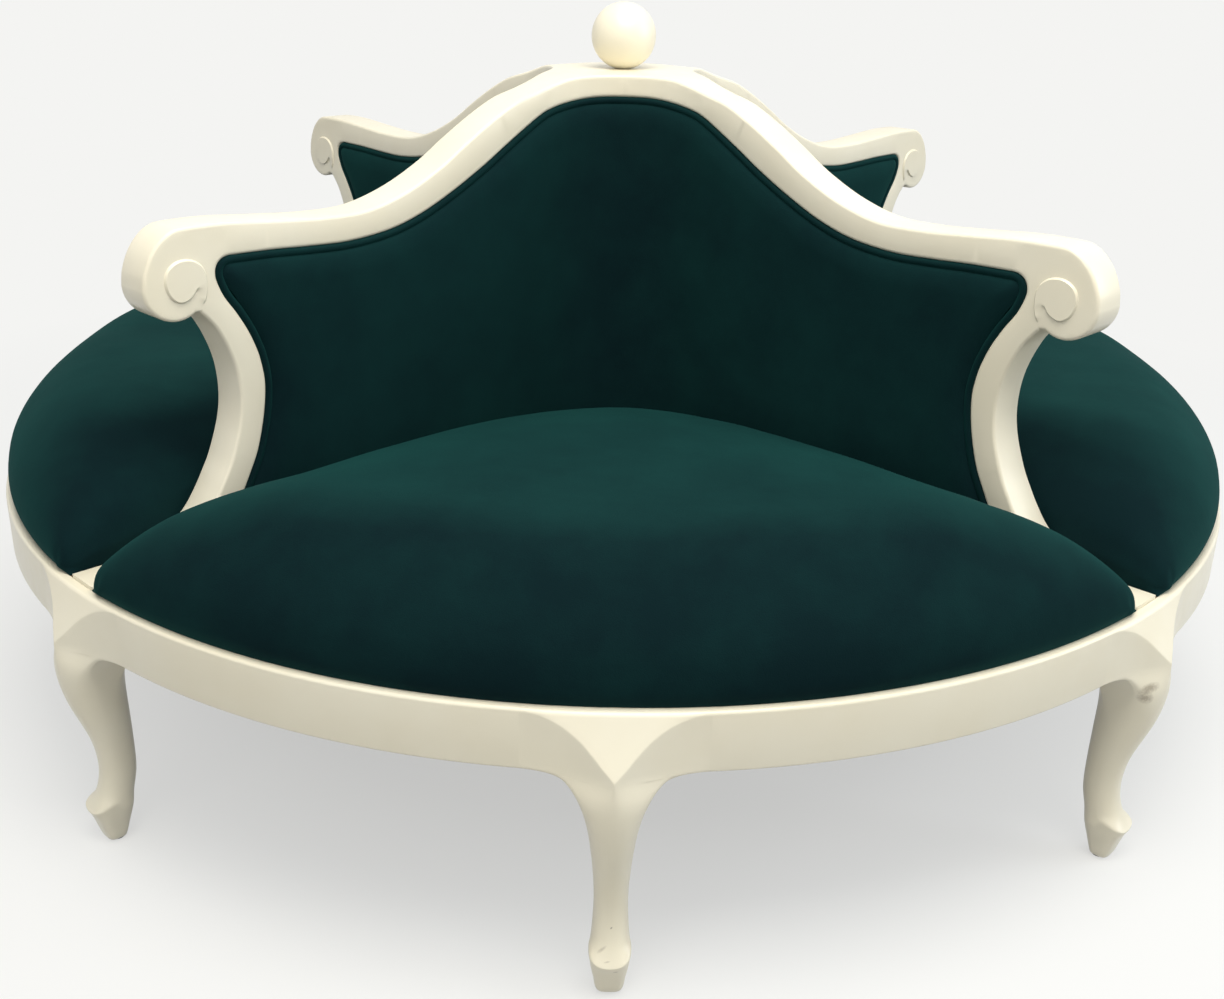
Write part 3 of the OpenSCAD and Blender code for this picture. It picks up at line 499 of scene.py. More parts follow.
def wing_meshes(size):
    """The meshes of a top rail and of an end post, both lying along X."""
    outer, inner, crotch, joint = wing_edges(size)
    ways_outer, ways_inner = ways_in(outer, 1), ways_in(inner, -1)
    over, under = edge_sections(size, outer, ways_outer), edge_sections(size, inner, ways_inner)
    outer_in, inner_in = outer + ways_outer * size.wing_arris, inner + ways_inner * size.wing_arris
    rail, post = Skin(), Skin()
    rail.sheet(over[:crotch + 1])
    rail.sheet(under[:joint + 1])
    wing_face(size, rail, np.vstack([outer_in[:crotch + 1], inner_in[joint::-1]]), True)
    post.sheet(over[crotch:])
    post.sheet(under[joint:])
    wing_face(size, post, np.vstack([outer_in[crotch:], inner_in[:joint - 1:-1]]), False)
    for skin in (rail, post):
        skin.face(list(over[crotch]) + list(under[joint][::-1]))
    post.face(list(over[-1]) + list(under[-1][::-1]))
    # The rail's inner end: two mitred faces, and a square one that butts against the centre post.
    top, low, half = over[0], under[0], size.post_w / 2
    middle = ARRIS_STEPS + 1
    corner_z = top[ARRIS_STEPS][2], low[ARRIS_STEPS][2]
    corners = {side: [np.array([half, side * half, z]) for z in corner_z] for side in (1, -1)}
    rail.face(list(top[:middle]) + corners[1] + list(low[:middle][::-1]))
    rail.face(list(top[middle:][::-1]) + corners[-1] + list(low[middle:]))
    rail.face([corners[1][0], corners[1][1], corners[-1][1], corners[-1][0]])
    for row, level in ((top, 0), (low, 1)):
        rail.face([row[ARRIS_STEPS], row[middle], corners[-1][level], corners[1][level]])
    return rail.mesh("top_rail"), post.mesh("end_post")


# The ring and its legs

# Heights on a leg, in millimetres: the toe's top, the shoulder under the block, and the knee's tip.
TOE_TOP, SHOULDER, KNEE_TIP = 53, 300, 310
# Shares along a leg's half outline: over the knee's facet, the flank and the side, and across the back.
SIDE_COLUMNS, BACK_COLUMNS = 4, 12
FACET = np.linspace(0, 1, 9)
FLANK = (1 - np.cos(np.linspace(0, math.pi, 21))) / 2
SIDE = np.linspace(0, 1, SIDE_COLUMNS + 1)[1:, None]
BACK = np.linspace(1, 0, BACK_COLUMNS + 1)[1:]
# Angles round a soft edge of the ring, the same on the rails as on the leg blocks.
QUARTER_TURN = np.linspace(0, math.pi / 2, 6)


def flank_out(y, mm):
    """How far the flank stands out of the ring's face; its ridge grows softer down from the knee's tip."""
    softness = 14 * float(smoothstep((KNEE_TIP - mm) / 46)) + 0.01
    return MM * read_curve(FLANK_OUT, np.minimum(np.hypot(y / MM, softness) - softness, FLANK_OUT[-1][0]))


def edge_round(arris, y, mm):
    """How far a soft edge draws the face back near the shoulder's outline as seen from the front."""
    # The shoulder's outline from the shin up, and then on out under the rail.
    shoulder = [(half, z) for z, half in LEG_HALF_WIDTH if z > 200] + [(SHOULDER, SHOULDER)]
    outline = np.array(shoulder, float)
    near = MM * distance_to(outline, np.column_stack([y / MM, np.full(len(y), mm)]))
    return arris - np.sqrt(arris ** 2 - np.clip(arris - near, 0, arris) ** 2)


def block_outline(size, z):
    """Half of a leg block's outline at a height, from the front round one side to the back."""
    down = size.ring_top - z
    half = MM * float(read_curve(FACET_HALF, min(down / MM, FACET_HALF[-1][0])))
    y = np.concatenate([FACET * half, half + (size.block_half - half) * FLANK[1:]])
    # The facet leans out to the knee's tip, a little hollow, and meets the flank in a soft edge.
    reach, soft = flank_out(y, z / MM), 0.5 * MM
    slope = (size.knee_out * down / size.knee_drop
             - 0.9 * MM * math.sin(math.pi * min(1, down / size.knee_drop)))
    out = 0.5 * (reach + slope - np.sqrt((reach - slope) ** 2 + soft ** 2))
    over = max(0, z - size.ring_top + size.arris)
    round_top = size.arris - math.sqrt(size.arris ** 2 - over ** 2)
    out = np.maximum(out, 0) - round_top - edge_round(size.arris, y, z / MM)
    x = np.sqrt(size.ring_r ** 2 - y ** 2) + out
    back_r = size.ring_r - (size.lip_w if z > size.board_z + SAME_PLACE else size.apron_w)
    corner = size.block_half * back_r / size.ring_r
    edge, heel = np.array([x[-1], y[-1]]), np.array([math.sqrt(back_r ** 2 - corner ** 2), corner])
    rear = np.column_stack([np.sqrt(back_r ** 2 - (corner * BACK) ** 2), corner * BACK])
    return np.vstack([np.column_stack([x, y]), edge + (heel - edge) * SIDE, rear])


def shin_outline(size, mm):
    """Half of a leg's outline at a height under the block, and how far each of its points is lifted."""
    front = MM * float(read_curve(SHIN_FRONT if mm > TOE_TOP else FOOT_FRONT, mm))
    back = MM * float(read_curve(LEG_BACK, mm))
    half = MM * float(read_curve(LEG_HALF_WIDTH, mm))
    middle = (front + back) / 2
    # The ankle is round, the foot is squarer, and the shoulder keeps the shape of the ring's face.
    squareness = 2.2 + 1.3 * float(1 - smoothstep((mm - 44) / 30))
    shoulder = float(smoothstep((mm - 205) / 95))
    ridge = 1.2 / (half / MM) + 0.10 * float(smoothstep((SHOULDER - mm) / 40))
    v = np.concatenate([FACET * ridge, ridge + (1 - ridge) * np.sin(FLANK[1:] * math.pi / 2)])
    v = np.minimum(v, 1)
    y = v * half
    # Where the shin's front stands out past the knee, it does so in the middle only.
    shift = front - size.ring_r - size.knee_out
    shift = shift * (np.exp(-(y / 0.025) ** 2) if shift > 0 else 1)
    prow = (size.ring_r + flank_out(y, mm) + shift - (y ** 2) / (2 * size.ring_r)
            - edge_round(size.arris + 10 * MM * (1 - shoulder), y, mm))
    oval = middle + (front - middle) * (1 - v ** squareness) ** (1 / squareness)
    x = shoulder * prow + (1 - shoulder) * oval
    # The toe's lip is higher at its sides than in the middle.
    lift = 8 * MM * v ** 2 * math.exp(-((mm - TOE_TOP) / 12) ** 2)
    around = np.linspace(0, math.pi / 2, SIDE_COLUMNS + BACK_COLUMNS + 1)[1:]
    rounded = np.column_stack([middle - (middle - back) * np.sin(around) ** (2 / squareness),
                               half * np.abs(np.cos(around)) ** (2 / squareness)])
    rounded[-1, 1] = 0
    edge, heel = np.array([x[-1], y[-1]]), np.array([back, 0.94 * half])
    boxed = np.vstack([edge + (heel - edge) * SIDE,
                       np.column_stack([np.full(BACK_COLUMNS, back), heel[1] * BACK])])
    rear = shoulder * boxed + (1 - shoulder) * rounded
    return np.vstack([np.column_stack([x, y]), rear]), np.append(lift, np.zeros(len(rear)))


def leg_section(size, z):
    """Half of a leg's section at a height, from the front round one side to the back."""
    if z >= size.ring_bottom:
        outline, lift = block_outline(size, z), 0
    else:
        outline, lift = shin_outline(size, z / MM)
    return np.insert(outline, 2, z + lift, axis=1)


def leg_mesh(size):
    """A cabriole leg with its block and pointed knee, along X."""
    low, top, bottom = size.glide_h, size.ring_top, size.ring_bottom
    arc = size.arris * np.sin(QUARTER_TURN)
    # Rows lie closer together at the glide, the toe's lip, the shoulder and the block's edges.
    heights = np.concatenate([
        low + MM * np.array([0, 0.5, 1.2, 2.2, 3.5]), np.arange(0.009, 0.0495, 0.004),
        MM * np.array([50.5, 51.6, 52.3, 52.8, 53.2, 53.7, 54.6, 56]), np.arange(0.0585, 0.27, 0.0045),
        np.arange(0.27, 0.299, 0.002), bottom - MM * np.array([1, 0.5, 0.15]),
        bottom + size.arris - arc[::-1], np.arange(bottom + 0.006, size.board_z - 0.001, 0.0024),
        [size.board_z, size.board_z + 2 * SAME_PLACE], np.arange(size.board_z + 0.0022, 0.3705, 0.0024),
        top - size.arris + arc])
    grid = []
    for z in heights:
        half = leg_section(size, float(z))
        grid.append(np.vstack([half, half[-2:0:-1] * (1, -1, 1)]))
    skin = Skin()
    skin.sheet(grid, closed=True)
    skin.face(grid[0])
    skin.face(grid[-1])
    return skin.mesh("leg")


def geometry_tree(name, inputs):
    """A Geometry Nodes tree with a geometry input, the given inputs and a geometry output."""
    tree = bpy.data.node_groups.new(name, "GeometryNodeTree")
    tree.interface.new_socket("Geometry", in_out="INPUT", socket_type="NodeSocketGeometry")
    keys = {label: tree.interface.new_socket(label, in_out="INPUT", socket_type=kind).identifier
            for label, kind in inputs.items()}
    tree.interface.new_socket("Geometry", in_out="OUTPUT", socket_type="NodeSocketGeometry")
    return tree, keys, tree.nodes.new("NodeGroupInput")


def add_node(tree, kind, settings=(), links=()):
    """Adds a node, sets its properties or sockets by name, and links sockets to it."""
    node = tree.nodes.new(kind)
    for key, value in dict(settings).items():
        if isinstance(key, str) and hasattr(node, key):
            setattr(node, key, value)
        else:
            node.inputs[key].default_value = value
    for key, source in dict(links).items():
        tree.links.new(source, node.inputs[key])
    return node


def close_tree(tree, geometry, material_socket):
    """Ends a tree with real geometry that carries its material."""
    real = add_node(tree, "GeometryNodeRealizeInstances", (), {"Geometry": geometry})
    coloured = add_node(tree, "GeometryNodeSetMaterial", (),
                        {"Geometry": real.outputs[0], "Material": material_socket})
    add_node(tree, "NodeGroupOutput", (), {"Geometry": coloured.outputs[0]})


def grown_mesh(name, seed_mesh, tree, values):
    """The mesh that a Geometry Nodes tree grows from a seed mesh."""
    seed = linked(name + "_seed", seed_mesh)
    grower = seed.modifiers.new("grow", "NODES")
    grower.node_group = tree
    for key, value in values.items():
        grower[key] = value
    bpy.context.view_layer.update()
    evaluated = seed.evaluated_get(bpy.context.evaluated_depsgraph_get())
    mesh = bpy.data.meshes.new_from_object(evaluated)
    seed.modifiers.remove(grower)
    bpy.data.objects.remove(seed)
    return mesh


def line_mesh(name, points, closed=False):
    """A mesh of edges along points."""
    mesh = bpy.data.meshes.new(name)
    count = len(points)
    edges = [(i, (i + 1) % count) for i in range(count if closed else count - 1)]
    mesh.from_pydata([tuple(p) for p in points], edges, [])
    return mesh


def apron_tree():
    """Sweeps a closed section along an arc of the ring."""
    tree, keys, given = geometry_tree("apron_rail_sweep", {
        "Radius": "NodeSocketFloat", "Start": "NodeSocketFloat", "Sweep": "NodeSocketFloat",
        "Steps": "NodeSocketInt", "Material": "NodeSocketMaterial"})
    arc = add_node(tree, "GeometryNodeCurveArc", {"mode": "RADIUS"}, {
        "Resolution": given.outputs["Steps"], "Radius": given.outputs["Radius"],
        "Start Angle": given.outputs["Start"], "Sweep Angle": given.outputs["Sweep"]})
    upright = add_node(tree, "GeometryNodeSetCurveNormal", {"mode": "Z_UP"}, {"Curve": arc.outputs["Curve"]})
    section = add_node(tree, "GeometryNodeMeshToCurve", (), {"Mesh": given.outputs["Geometry"]})
    swept = add_node(tree, "GeometryNodeCurveToMesh", {"Fill Caps": True},
                     {"Curve": upright.outputs[0], "Profile Curve": section.outputs[0]})
    close_tree(tree, swept.outputs[0], given.outputs["Material"])
    return tree, keys


def apron_section(size):
    """The section of an apron rail, outwards from the ring's face; its heights are negative for the sweep."""
    arris, top, low = size.arris, size.ring_top, size.ring_bottom
    lower = [(-arris + arris * math.sin(t), low + arris - arris * math.cos(t)) for t in QUARTER_TURN]
    upper = [(-arris + arris * math.cos(t), top - arris + arris * math.sin(t)) for t in QUARTER_TURN]
    points = ([(-size.apron_w, low)] + lower + upper
              + [(-size.lip_w, top), (-size.lip_w, size.board_z), (-size.apron_w, size.board_z)])
    return [(x, -z, 0) for x, z in points]


def welt_tree():
    """Sweeps a round welt along a line."""
    tree, keys, given = geometry_tree("welt_sweep", {
        "Radius": "NodeSocketFloat", "Sides": "NodeSocketInt", "Material": "NodeSocketMaterial"})
    path = add_node(tree, "GeometryNodeMeshToCurve", (), {"Mesh": given.outputs["Geometry"]})
    ring = add_node(tree, "GeometryNodeCurvePrimitiveCircle", {"mode": "RADIUS"},
                    {"Resolution": given.outputs["Sides"], "Radius": given.outputs["Radius"]})
    swept = add_node(tree, "GeometryNodeCurveToMesh", {"Fill Caps": True},
                     {"Curve": path.outputs[0], "Profile Curve": ring.outputs[0]})
    close_tree(tree, swept.outputs[0], given.outputs["Material"])
    return tree, keys


def glide_tree():
    """Sets a disc under each foot, on the points of a ring."""
    tree, keys, given = geometry_tree("glides_under_feet", {
        "Radius": "NodeSocketFloat", "Height": "NodeSocketFloat", "Material": "NodeSocketMaterial"})
    disc = add_node(tree, "GeometryNodeMeshCone", {"Vertices": 40}, {
        "Radius Top": given.outputs["Radius"], "Radius Bottom": given.outputs["Radius"],
        "Depth": given.outputs["Height"]})
    placed = add_node(tree, "GeometryNodeInstanceOnPoints", (),
                      {"Points": given.outputs["Geometry"], "Instance": disc.outputs["Mesh"]})
    close_tree(tree, placed.outputs[0], given.outputs["Material"])
    return tree, keys


# The upholstery

# A back pad: its space to the frame's edge, how far inside that edge it starts to rise and how far it is
# sunk there, how far its flat rear lies before the wing's middle, and how high over the ring it ends.
BACK_GAP, BACK_START, BACK_SUNK = 0.4 * MM, 8.5 * MM, 3.4 * MM
BACK_REAR, BACK_FOOT = 15 * MM, 20.5 * MM
# How high over the ring a welt ends, behind the seat, and how far its middle is sunk.
WELT_FOOT, WELT_SUNK = 45 * MM, 4.6 * MM


def bent_place(size, s, deep):
    """A place in front of a bent back: s runs along the two wings, 0 in the middle of the bend."""
    bend = fillet_at(size)
    a = EIGHTH * s / bend
    far = np.abs(s) > bend
    root = math.sqrt(2)
    x = np.where(far, np.sign(s) * (np.abs(s) - deep) / root, (bend - deep) * np.sin(a))
    y = np.where(far, -(np.abs(s) + deep) / root, (bend - deep) * np.cos(a) - bend * root)
    return x, y


def bend_run(size, x):
    """How far along the bend a place on a wing's face lies, from its distance along the wing."""
    bend = fillet_at(size)
    angle = np.arcsin(np.clip((bend - x) / size.fillet_r, 0, 1))
    return np.where(x < bend, bend * (EIGHTH - angle) / EIGHTH, x)


def wing_run(size, s):
    """The distance along the wing of a place along the bend."""
    bend = fillet_at(size)
    s = np.abs(s)
    return np.where(s < bend, bend - size.fillet_r * np.sin(EIGHTH * (1 - s / bend)), s)


def opening_line(size):
    """The inner edge of a wing's frame from the mitre to the seat."""
    inner = wing_edges(size)[1]
    return inner[:-1]


def distance_to(line, points):
    """The distance from each point to a line of points."""
    a, b = line[:-1], line[1:]
    way = b - a
    t = np.einsum("psk,sk->ps", points[:, None] - a[None], way) / np.maximum((way ** 2).sum(1), 1e-12)
    near = a + np.clip(t, 0, 1)[..., None] * way
    return np.linalg.norm(points[:, None] - near, axis=2).min(1)


def back_pad_mesh(size):
    """A bent back pad, its front crowned and its edge turned in beside the welt."""
    line = opening_line(size)
    columns, rows = 150, 52
    high = line[:, 1] > (size.ring_top + size.arm_z) / 2
    corner = int(np.argmax(np.where(high, line[:, 0], 0)))
    upper, side = line[:corner + 1], line[corner:]
    low_z, high_z = size.ring_top + BACK_FOOT, side[0, 1]
    # Columns lie closer together at the sides, and rows at the top.
    u = np.linspace(-1, 1, columns + 1)
    u = np.sign(u) * (1 - (1 - np.abs(u)) ** 1.25)
    v = 1 - (1 - np.linspace(0, 1, rows + 1)) ** 1.35
    seat_side = side[np.argsort(side[:, 1])]
    grid_s, grid_z = np.zeros((rows + 1, columns + 1)), np.zeros((rows + 1, columns + 1))
    for j, share in enumerate(v):
        side_z = low_z + share * (high_z - low_z)
        reach = np.interp(side_z, seat_side[:, 1], seat_side[:, 0]) - BACK_GAP
        s = u * reach
        top_z = np.interp(wing_run(size, s), upper[:, 0], upper[:, 1]) - BACK_GAP
        grid_s[j], grid_z[j] = s, low_z + share * (top_z - low_z)
    flat = np.column_stack([wing_run(size, grid_s).ravel(), grid_z.ravel()])
    edge = distance_to(line, flat).reshape(grid_s.shape)
    rise = quarter_round((edge - BACK_START) / size.back_turn)
    front = size.wing_t / 2 - BACK_SUNK + (BACK_SUNK + size.back_crown) * rise
    rear = np.full_like(front, BACK_REAR)
    skin = Skin()
    sheets = []
    for deep in (front, rear):
        x, y = bent_place(size, grid_s, deep)
        sheets.append(np.stack([x, y, grid_z], axis=-1))
        skin.sheet(sheets[-1])
    for first, second in ((sheets[0][0], sheets[1][0]), (sheets[0][-1], sheets[1][-1]),
                          (sheets[0][:, 0], sheets[1][:, 0]), (sheets[0][:, -1], sheets[1][:, -1])):
        skin.sheet([first, second])
    return skin.mesh("back_pad")


def welt_path(size):
    """The line of the welt round one back pad, from seat to seat over the top."""
    line = opening_line(size)
    path = line - ways_in(line, -1) * size.welt_in
    path = path[path[:, 1] > size.ring_top + WELT_FOOT]
    x, y = bent_place(size, bend_run(size, path[:, 0]), size.wing_t / 2 - WELT_SUNK)
    right = np.column_stack([x, y, path[:, 1]])
    return np.vstack([right[::-1], right[1:] * (-1, 1, 1)])


# A seat pad's sheet, and its points along the strip, the end post, the back pad's foot and the back pad.
SEAT_COLUMNS, SEAT_ROWS = 130, 72
SIDE_POINTS = (12, 18, 12, 90)
# The share of the crown that is lost at the inner corner, and that is left right beside a wing.
CORNER_LOSS, WING_SHARE = 0.41, 0.23
# The width over which the two slopes down to the wings blend, and the most that an edge is rounded.
CROWN_BLEND, EDGE_ROLL = 85 * MM, 12 * MM
# Cloth simulation: its frames, the air's pressure, and the most that a point may move.
PUFF_FRAMES, PUFF_PRESSURE, PUFF_MOST = 20, 4, 6 * MM
# Height of the uneven places in hand-stuffed padding.
UNEVEN = 2.2 * MM
# How far inside the apron the dust cloth is cut straight behind a leg block.
NOTCH_IN = 21 * MM


def seat_base(size):
    """Height of a seat pad's flat underside."""
    return size.ring_top + 0.4 * MM


def seat_outline(size, out):
    """The four sides of a seat pad's plan: its front arc, left side, inner corner and right side."""
    half = size.wing_t / 2
    by_strip, by_post = size.strip_w / 2 + size.pad_gap, half + size.pad_gap
    by_pad = by_post + size.back_crown
    tip = EIGHTH - math.asin(by_strip / out)
    angles = np.linspace(-tip, tip, 181)
    front = np.column_stack([out * np.sin(angles), -out * np.cos(angles)])
    foot = POST_IN_SHARES[-1][0] * size.scroll_at
    bend = fillet_at(size)
    stops = [(strip_start(size), by_strip), (size.scroll_at, by_post), (foot, by_pad), (bend, by_pad)]
    side = [front[0]] + [np.array(bent_place(size, -s, deep)).ravel() for s, deep in stops]
    pieces = [np.linspace(a, b, n, endpoint=False) for a, b, n in zip(side, side[1:], SIDE_POINTS)]
    left = np.vstack(pieces + [[side[-1]]])
    run = np.linspace(-bend, bend, 61)
    corner = np.column_stack(bent_place(size, run, by_pad))
    return front, left, corner, left * (-1, 1)


def spread(line, shares):
    """Points of a line at shares of its length."""
    run = np.concatenate([[0], np.cumsum(np.linalg.norm(np.diff(line, axis=0), axis=1))])
    at = shares * run[-1]
    return np.column_stack([np.interp(at, run, line[:, k]) for k in (0, 1)])


def wing_gap(points, ridge=0.0):
    """How far points lie before the nearer wing's middle plane; a ridge is the width of a soft change."""
    return (-points[..., 1] - np.hypot(points[..., 0], ridge)) / math.sqrt(2)


def rounded_corners(size, plan, wide):
    """The plan's points, drawn in so that the two front corners are round."""
    r, gap = np.linalg.norm(plan, axis=2), wing_gap(plan)
    beside = size.strip_w / 2 + size.pad_gap
    p, q = (np.clip(1 - away / size.pad_corner, 0, 1) for away in (gap - beside, wide - r))
    r = r + size.pad_corner * q * (np.sqrt(1 - p ** 2 / 2) - 1)
    gap = gap - size.pad_corner * p * (np.sqrt(1 - q ** 2 / 2) - 1)
    along = np.sqrt(np.maximum(r ** 2 - gap ** 2, 0))
    drawn = np.stack([np.sign(plan[..., 0]) * (along - gap), -along - gap], axis=-1) / math.sqrt(2)
    return np.where(((p > 0) & (q > 0))[..., None], drawn, plan)


def seat_plan(size, wide):
    """A grid of places over a seat's plan, its columns and rows closer together at the edges."""
    u, v = np.linspace(0, 1, SEAT_COLUMNS + 1), np.linspace(0, 1, SEAT_ROWS + 1)
    u = 0.45 * u + 0.55 * (1 - np.cos(math.pi * u)) / 2
    v = 0.35 * v + 0.65 * (1 - np.cos(math.pi * v)) / 2
    front, left, corner, right = seat_outline(size, wide)
    low, high, near, far = spread(front, u), spread(corner, u), spread(left, v), spread(right, v)
    uu, vv = u[None, :, None], v[:, None, None]
    return ((1 - vv) * low[None] + vv * high[None] + (1 - uu) * near[:, None] + uu * far[:, None]
            - (1 - uu) * (1 - vv) * low[0] - uu * (1 - vv) * low[-1] - (1 - uu) * vv * high[0]
            - uu * vv * high[-1])


def seat_pad_mesh(size):
    """A crowned seat pad: a sheet of columns and rows over upright sides."""
    out = size.ring_r - size.lip_w + 0.6 * MM
    wide = out - MM + size.pad_swell
    foot = seat_plan(size, wide)
    plan = rounded_corners(size, foot, wide)
    r = np.linalg.norm(plan, axis=2)
    middle = soft_rise(wing_gap(plan, CROWN_BLEND) - size.wing_t / 2 - size.pad_gap, size.wing_run)
    edge = size.pad_edge_h * (0.5 + 0.5 * middle)
    rise = soft_rise(wide - r, size.crown_run) * (WING_SHARE + (1 - WING_SHARE) * middle)
    height = edge + (size.crown_h - edge) * rise * (1 - CORNER_LOSS * (1 - smoothstep(r / size.corner_run)))
    # The edges beside the wings are rolled over, and so are the rounded front corners.
    drawn_in = np.linalg.norm(plan[0] - foot[0], axis=1)[:SEAT_COLUMNS // 2] > 0.1 * MM
    turned = int(drawn_in.sum())
    sides = np.vstack([plan[0, turned::-1], plan[1:, 0], plan[-1, 1:], plan[-2::-1, -1],
                       plan[0, -2:-turned - 2:-1]])
    beside = distance_to(sides, plan.reshape(-1, 2)).reshape(height.shape)
    roll = np.minimum(0.5 * height, EDGE_ROLL)
    height = height - roll * (1 - quarter_round(beside / np.maximum(roll, MM), 2))
    base_z = seat_base(size)
    top = np.concatenate([plan, (base_z + height)[..., None]], axis=2)
    base = foot * np.minimum(1, out / np.maximum(np.linalg.norm(foot, axis=2), MM))[..., None]
    rim, narrow = (np.vstack([g[0], g[1:, -1], g[-1, -2::-1], g[-2:0:-1, 0]]) for g in (top, base))
    # The upright sides swell out to their full width at 0.7 of their height.
    walls = []
    for share in (0, 0.12, 0.28, 0.46, 0.64, 0.82, 1):
        place = narrow + (rim[:, :2] - narrow) * math.sin(min(1, share / 0.7) * math.pi / 2)
        walls.append(np.column_stack([place, base_z + share * (rim[:, 2] - base_z)]))
    skin = Skin()
    skin.sheet(top)
    skin.sheet(walls, closed=True)
    skin.sheet(np.concatenate([base, np.full_like(r, base_z)[..., None]], axis=2))
    return skin.mesh("seat_pad")


def mesh_points(mesh):
    """The places of a mesh's points."""
    places = np.zeros(len(mesh.vertices) * 3)
    mesh.vertices.foreach_get("co", places)
    return places.reshape(-1, 3)


def evened(mesh, values, rounds=40):
    """A value at each point, averaged with its neighbours' again and again."""
    ends = np.zeros(len(mesh.edges) * 2, dtype=np.int64)
    mesh.edges.foreach_get("vertices", ends)
    a, b = ends.reshape(-1, 2).T
    count = np.bincount(ends, minlength=len(values))[:, None]
    for _ in range(rounds):
        around = np.zeros_like(values)
        np.add.at(around, a, values[b])
        np.add.at(around, b, values[a])
        values = 0.5 * values + 0.5 * around / count
    return values


def blown_up(mesh, fixed):
    """How far air inside moves each point of a cloth mesh, some of them held, by simulation."""
    before = mesh_points(mesh)
    pad = linked("pad_to_puff", mesh)
    held = pad.vertex_groups.new(name="held")
    held.add([int(i) for i in np.flatnonzero(fixed)], 1.0, "REPLACE")
    cloth = pad.modifiers.new("cloth", "CLOTH")
    cloth.settings.vertex_group_mass = "held"
    cloth.settings.use_pressure = True
    cloth.settings.uniform_pressure_force = PUFF_PRESSURE
    cloth.settings.effector_weights.gravity = 0
    cloth.settings.quality = 4
    cloth.collision_settings.use_collision = False
    for number in range(1, PUFF_FRAMES + 1):
        bpy.context.scene.frame_set(number)
    evaluated = pad.evaluated_get(bpy.context.evaluated_depsgraph_get())
    move = mesh_points(evaluated.data) - before
    bpy.context.scene.frame_set(1)
    pad.modifiers.remove(cloth)
    bpy.data.objects.remove(pad)
    far = np.linalg.norm(move, axis=1)
    move *= (np.minimum(far, PUFF_MOST) / np.maximum(far, SAME_PLACE))[:, None]
    return evened(mesh, move)


def puffed(size, mesh):
    """Blows a seat pad up with cloth simulation: its base stays, and its sides barely move."""
    places, base_z = mesh_points(mesh), seat_base(size)
    beside, r = wing_gap(places) - size.wing_t / 2, np.linalg.norm(places[:, :2], axis=1)
    free = smoothstep((beside - 0.012) / 0.11) * smoothstep((places[:, 2] - base_z) / 0.03)
    free *= 0.25 + 0.75 * smoothstep((size.ring_r - r) / 0.06)
    places = places + blown_up(mesh, places[:, 2] < base_z + 0.5 * MM) * free[:, None]
    # Hand-stuffed padding is never quite even.
    waves = np.array([noise.noise(Vector(p) * 5.5) + 0.4 * noise.noise(Vector(p) * 14) for p in places])
    places[:, 2] += UNEVEN * waves * free
    mesh.vertices.foreach_set("co", places.ravel())
    mesh.update()
    return mesh


def subdivided(mesh):
    """The mesh with each face split in four and smoothed."""
    thing = linked("to_subdivide", mesh)
    finer = thing.modifiers.new("finer", "SUBSURF")
    finer.levels = finer.render_levels = 1
    result = bpy.data.meshes.new_from_object(thing.evaluated_get(bpy.context.evaluated_depsgraph_get()))
    thing.modifiers.remove(finer)
    bpy.data.objects.remove(thing)
    return result


def dust_cloth(size):
    """The cloth stapled under the frame and cut round the legs: its mesh and its flat area."""
    notch = size.ring_r - size.apron_w - NOTCH_IN
    turn = math.atan(size.block_half / notch)
    first, last = turn + 0.0005, EIGHTH - turn - 0.0005
    rim = []
    for i in EIGHTHS:
        rim += [(leg_turn(i) + a, notch / math.cos(a)) for a in np.linspace(-turn, turn, 7)]
        rim += [(leg_turn(i) + a, size.cloth_r) for a in np.linspace(first, last, 23)]
    angles, reach = np.array(rim).T
    area = 0.5 * (reach * np.roll(reach, -1) * np.sin(np.roll(angles, -1) - angles)).sum()
    share = np.linspace(0, 1, 36)[:, None] ** 0.8
    # It sags between the hub and the ring, and puckers a little towards its staples.
    pucker = 0.8 * MM * np.cos(angles * 96) * share ** 6 * (1 - share)
    sag = size.cloth_sag * 4 * share ** 2 * (1 - share ** 2) + pucker
    z = size.ring_bottom - size.cloth_t - 0.3 * MM - sag
    low = np.stack([share * reach * np.cos(angles), share * reach * np.sin(angles), z], axis=-1)
    high = low + (0, 0, size.cloth_t)
    skin = Skin()
    for sheet in (low, high, [low[-1], high[-1]]):
        skin.sheet(sheet, closed=True)
    return skin.mesh("dust_cloth"), area


def ball_mesh(size):
    """A turned ball with a small flat under it, standing on the crest."""
    middle = size.crest_z + math.sqrt(size.ball_r ** 2 - size.ball_flat_r ** 2)
    first = math.asin(size.ball_flat_r / size.ball_r)
    around, down = np.arange(96) * 2 * math.pi / 96, np.linspace(math.pi - first, 0.02, 60)
    grid = [[(size.ball_r * math.sin(b) * math.cos(a), size.ball_r * math.sin(b) * math.sin(a),
              middle + size.ball_r * math.cos(b)) for a in around] for b in down]
    skin = Skin()
    skin.sheet(grid, closed=True)
    skin.face(grid[0])
    skin.face(grid[-1])
    return skin.mesh("finial_ball")


# Finishes

# The colour sockets of a Mix node, by place, because its other kinds use the same names.
FIRST, SECOND, MIXED = 6, 7, 2


def start_finish(name):
    """A new material, its empty tree, and object coordinates in it."""
    material = bpy.data.materials.new(name)
    material.use_nodes = True
    tree = material.node_tree
    tree.nodes.clear()
    return material, tree, add_node(tree, "ShaderNodeTexCoord").outputs["Object"]


def end_finish(material, settings, links):
    """Gives a material its main shader: plain settings, and links for what varies over the surface."""
    tree = material.node_tree
    surface = add_node(tree, "ShaderNodeBsdfPrincipled", settings, links)
    add_node(tree, "ShaderNodeOutputMaterial", (), {"Surface": surface.outputs[0]})
    return material


# How far a mark reaches to the front and back of its place, so that it covers the curved surface.
MARK_DEPTH = 0.02
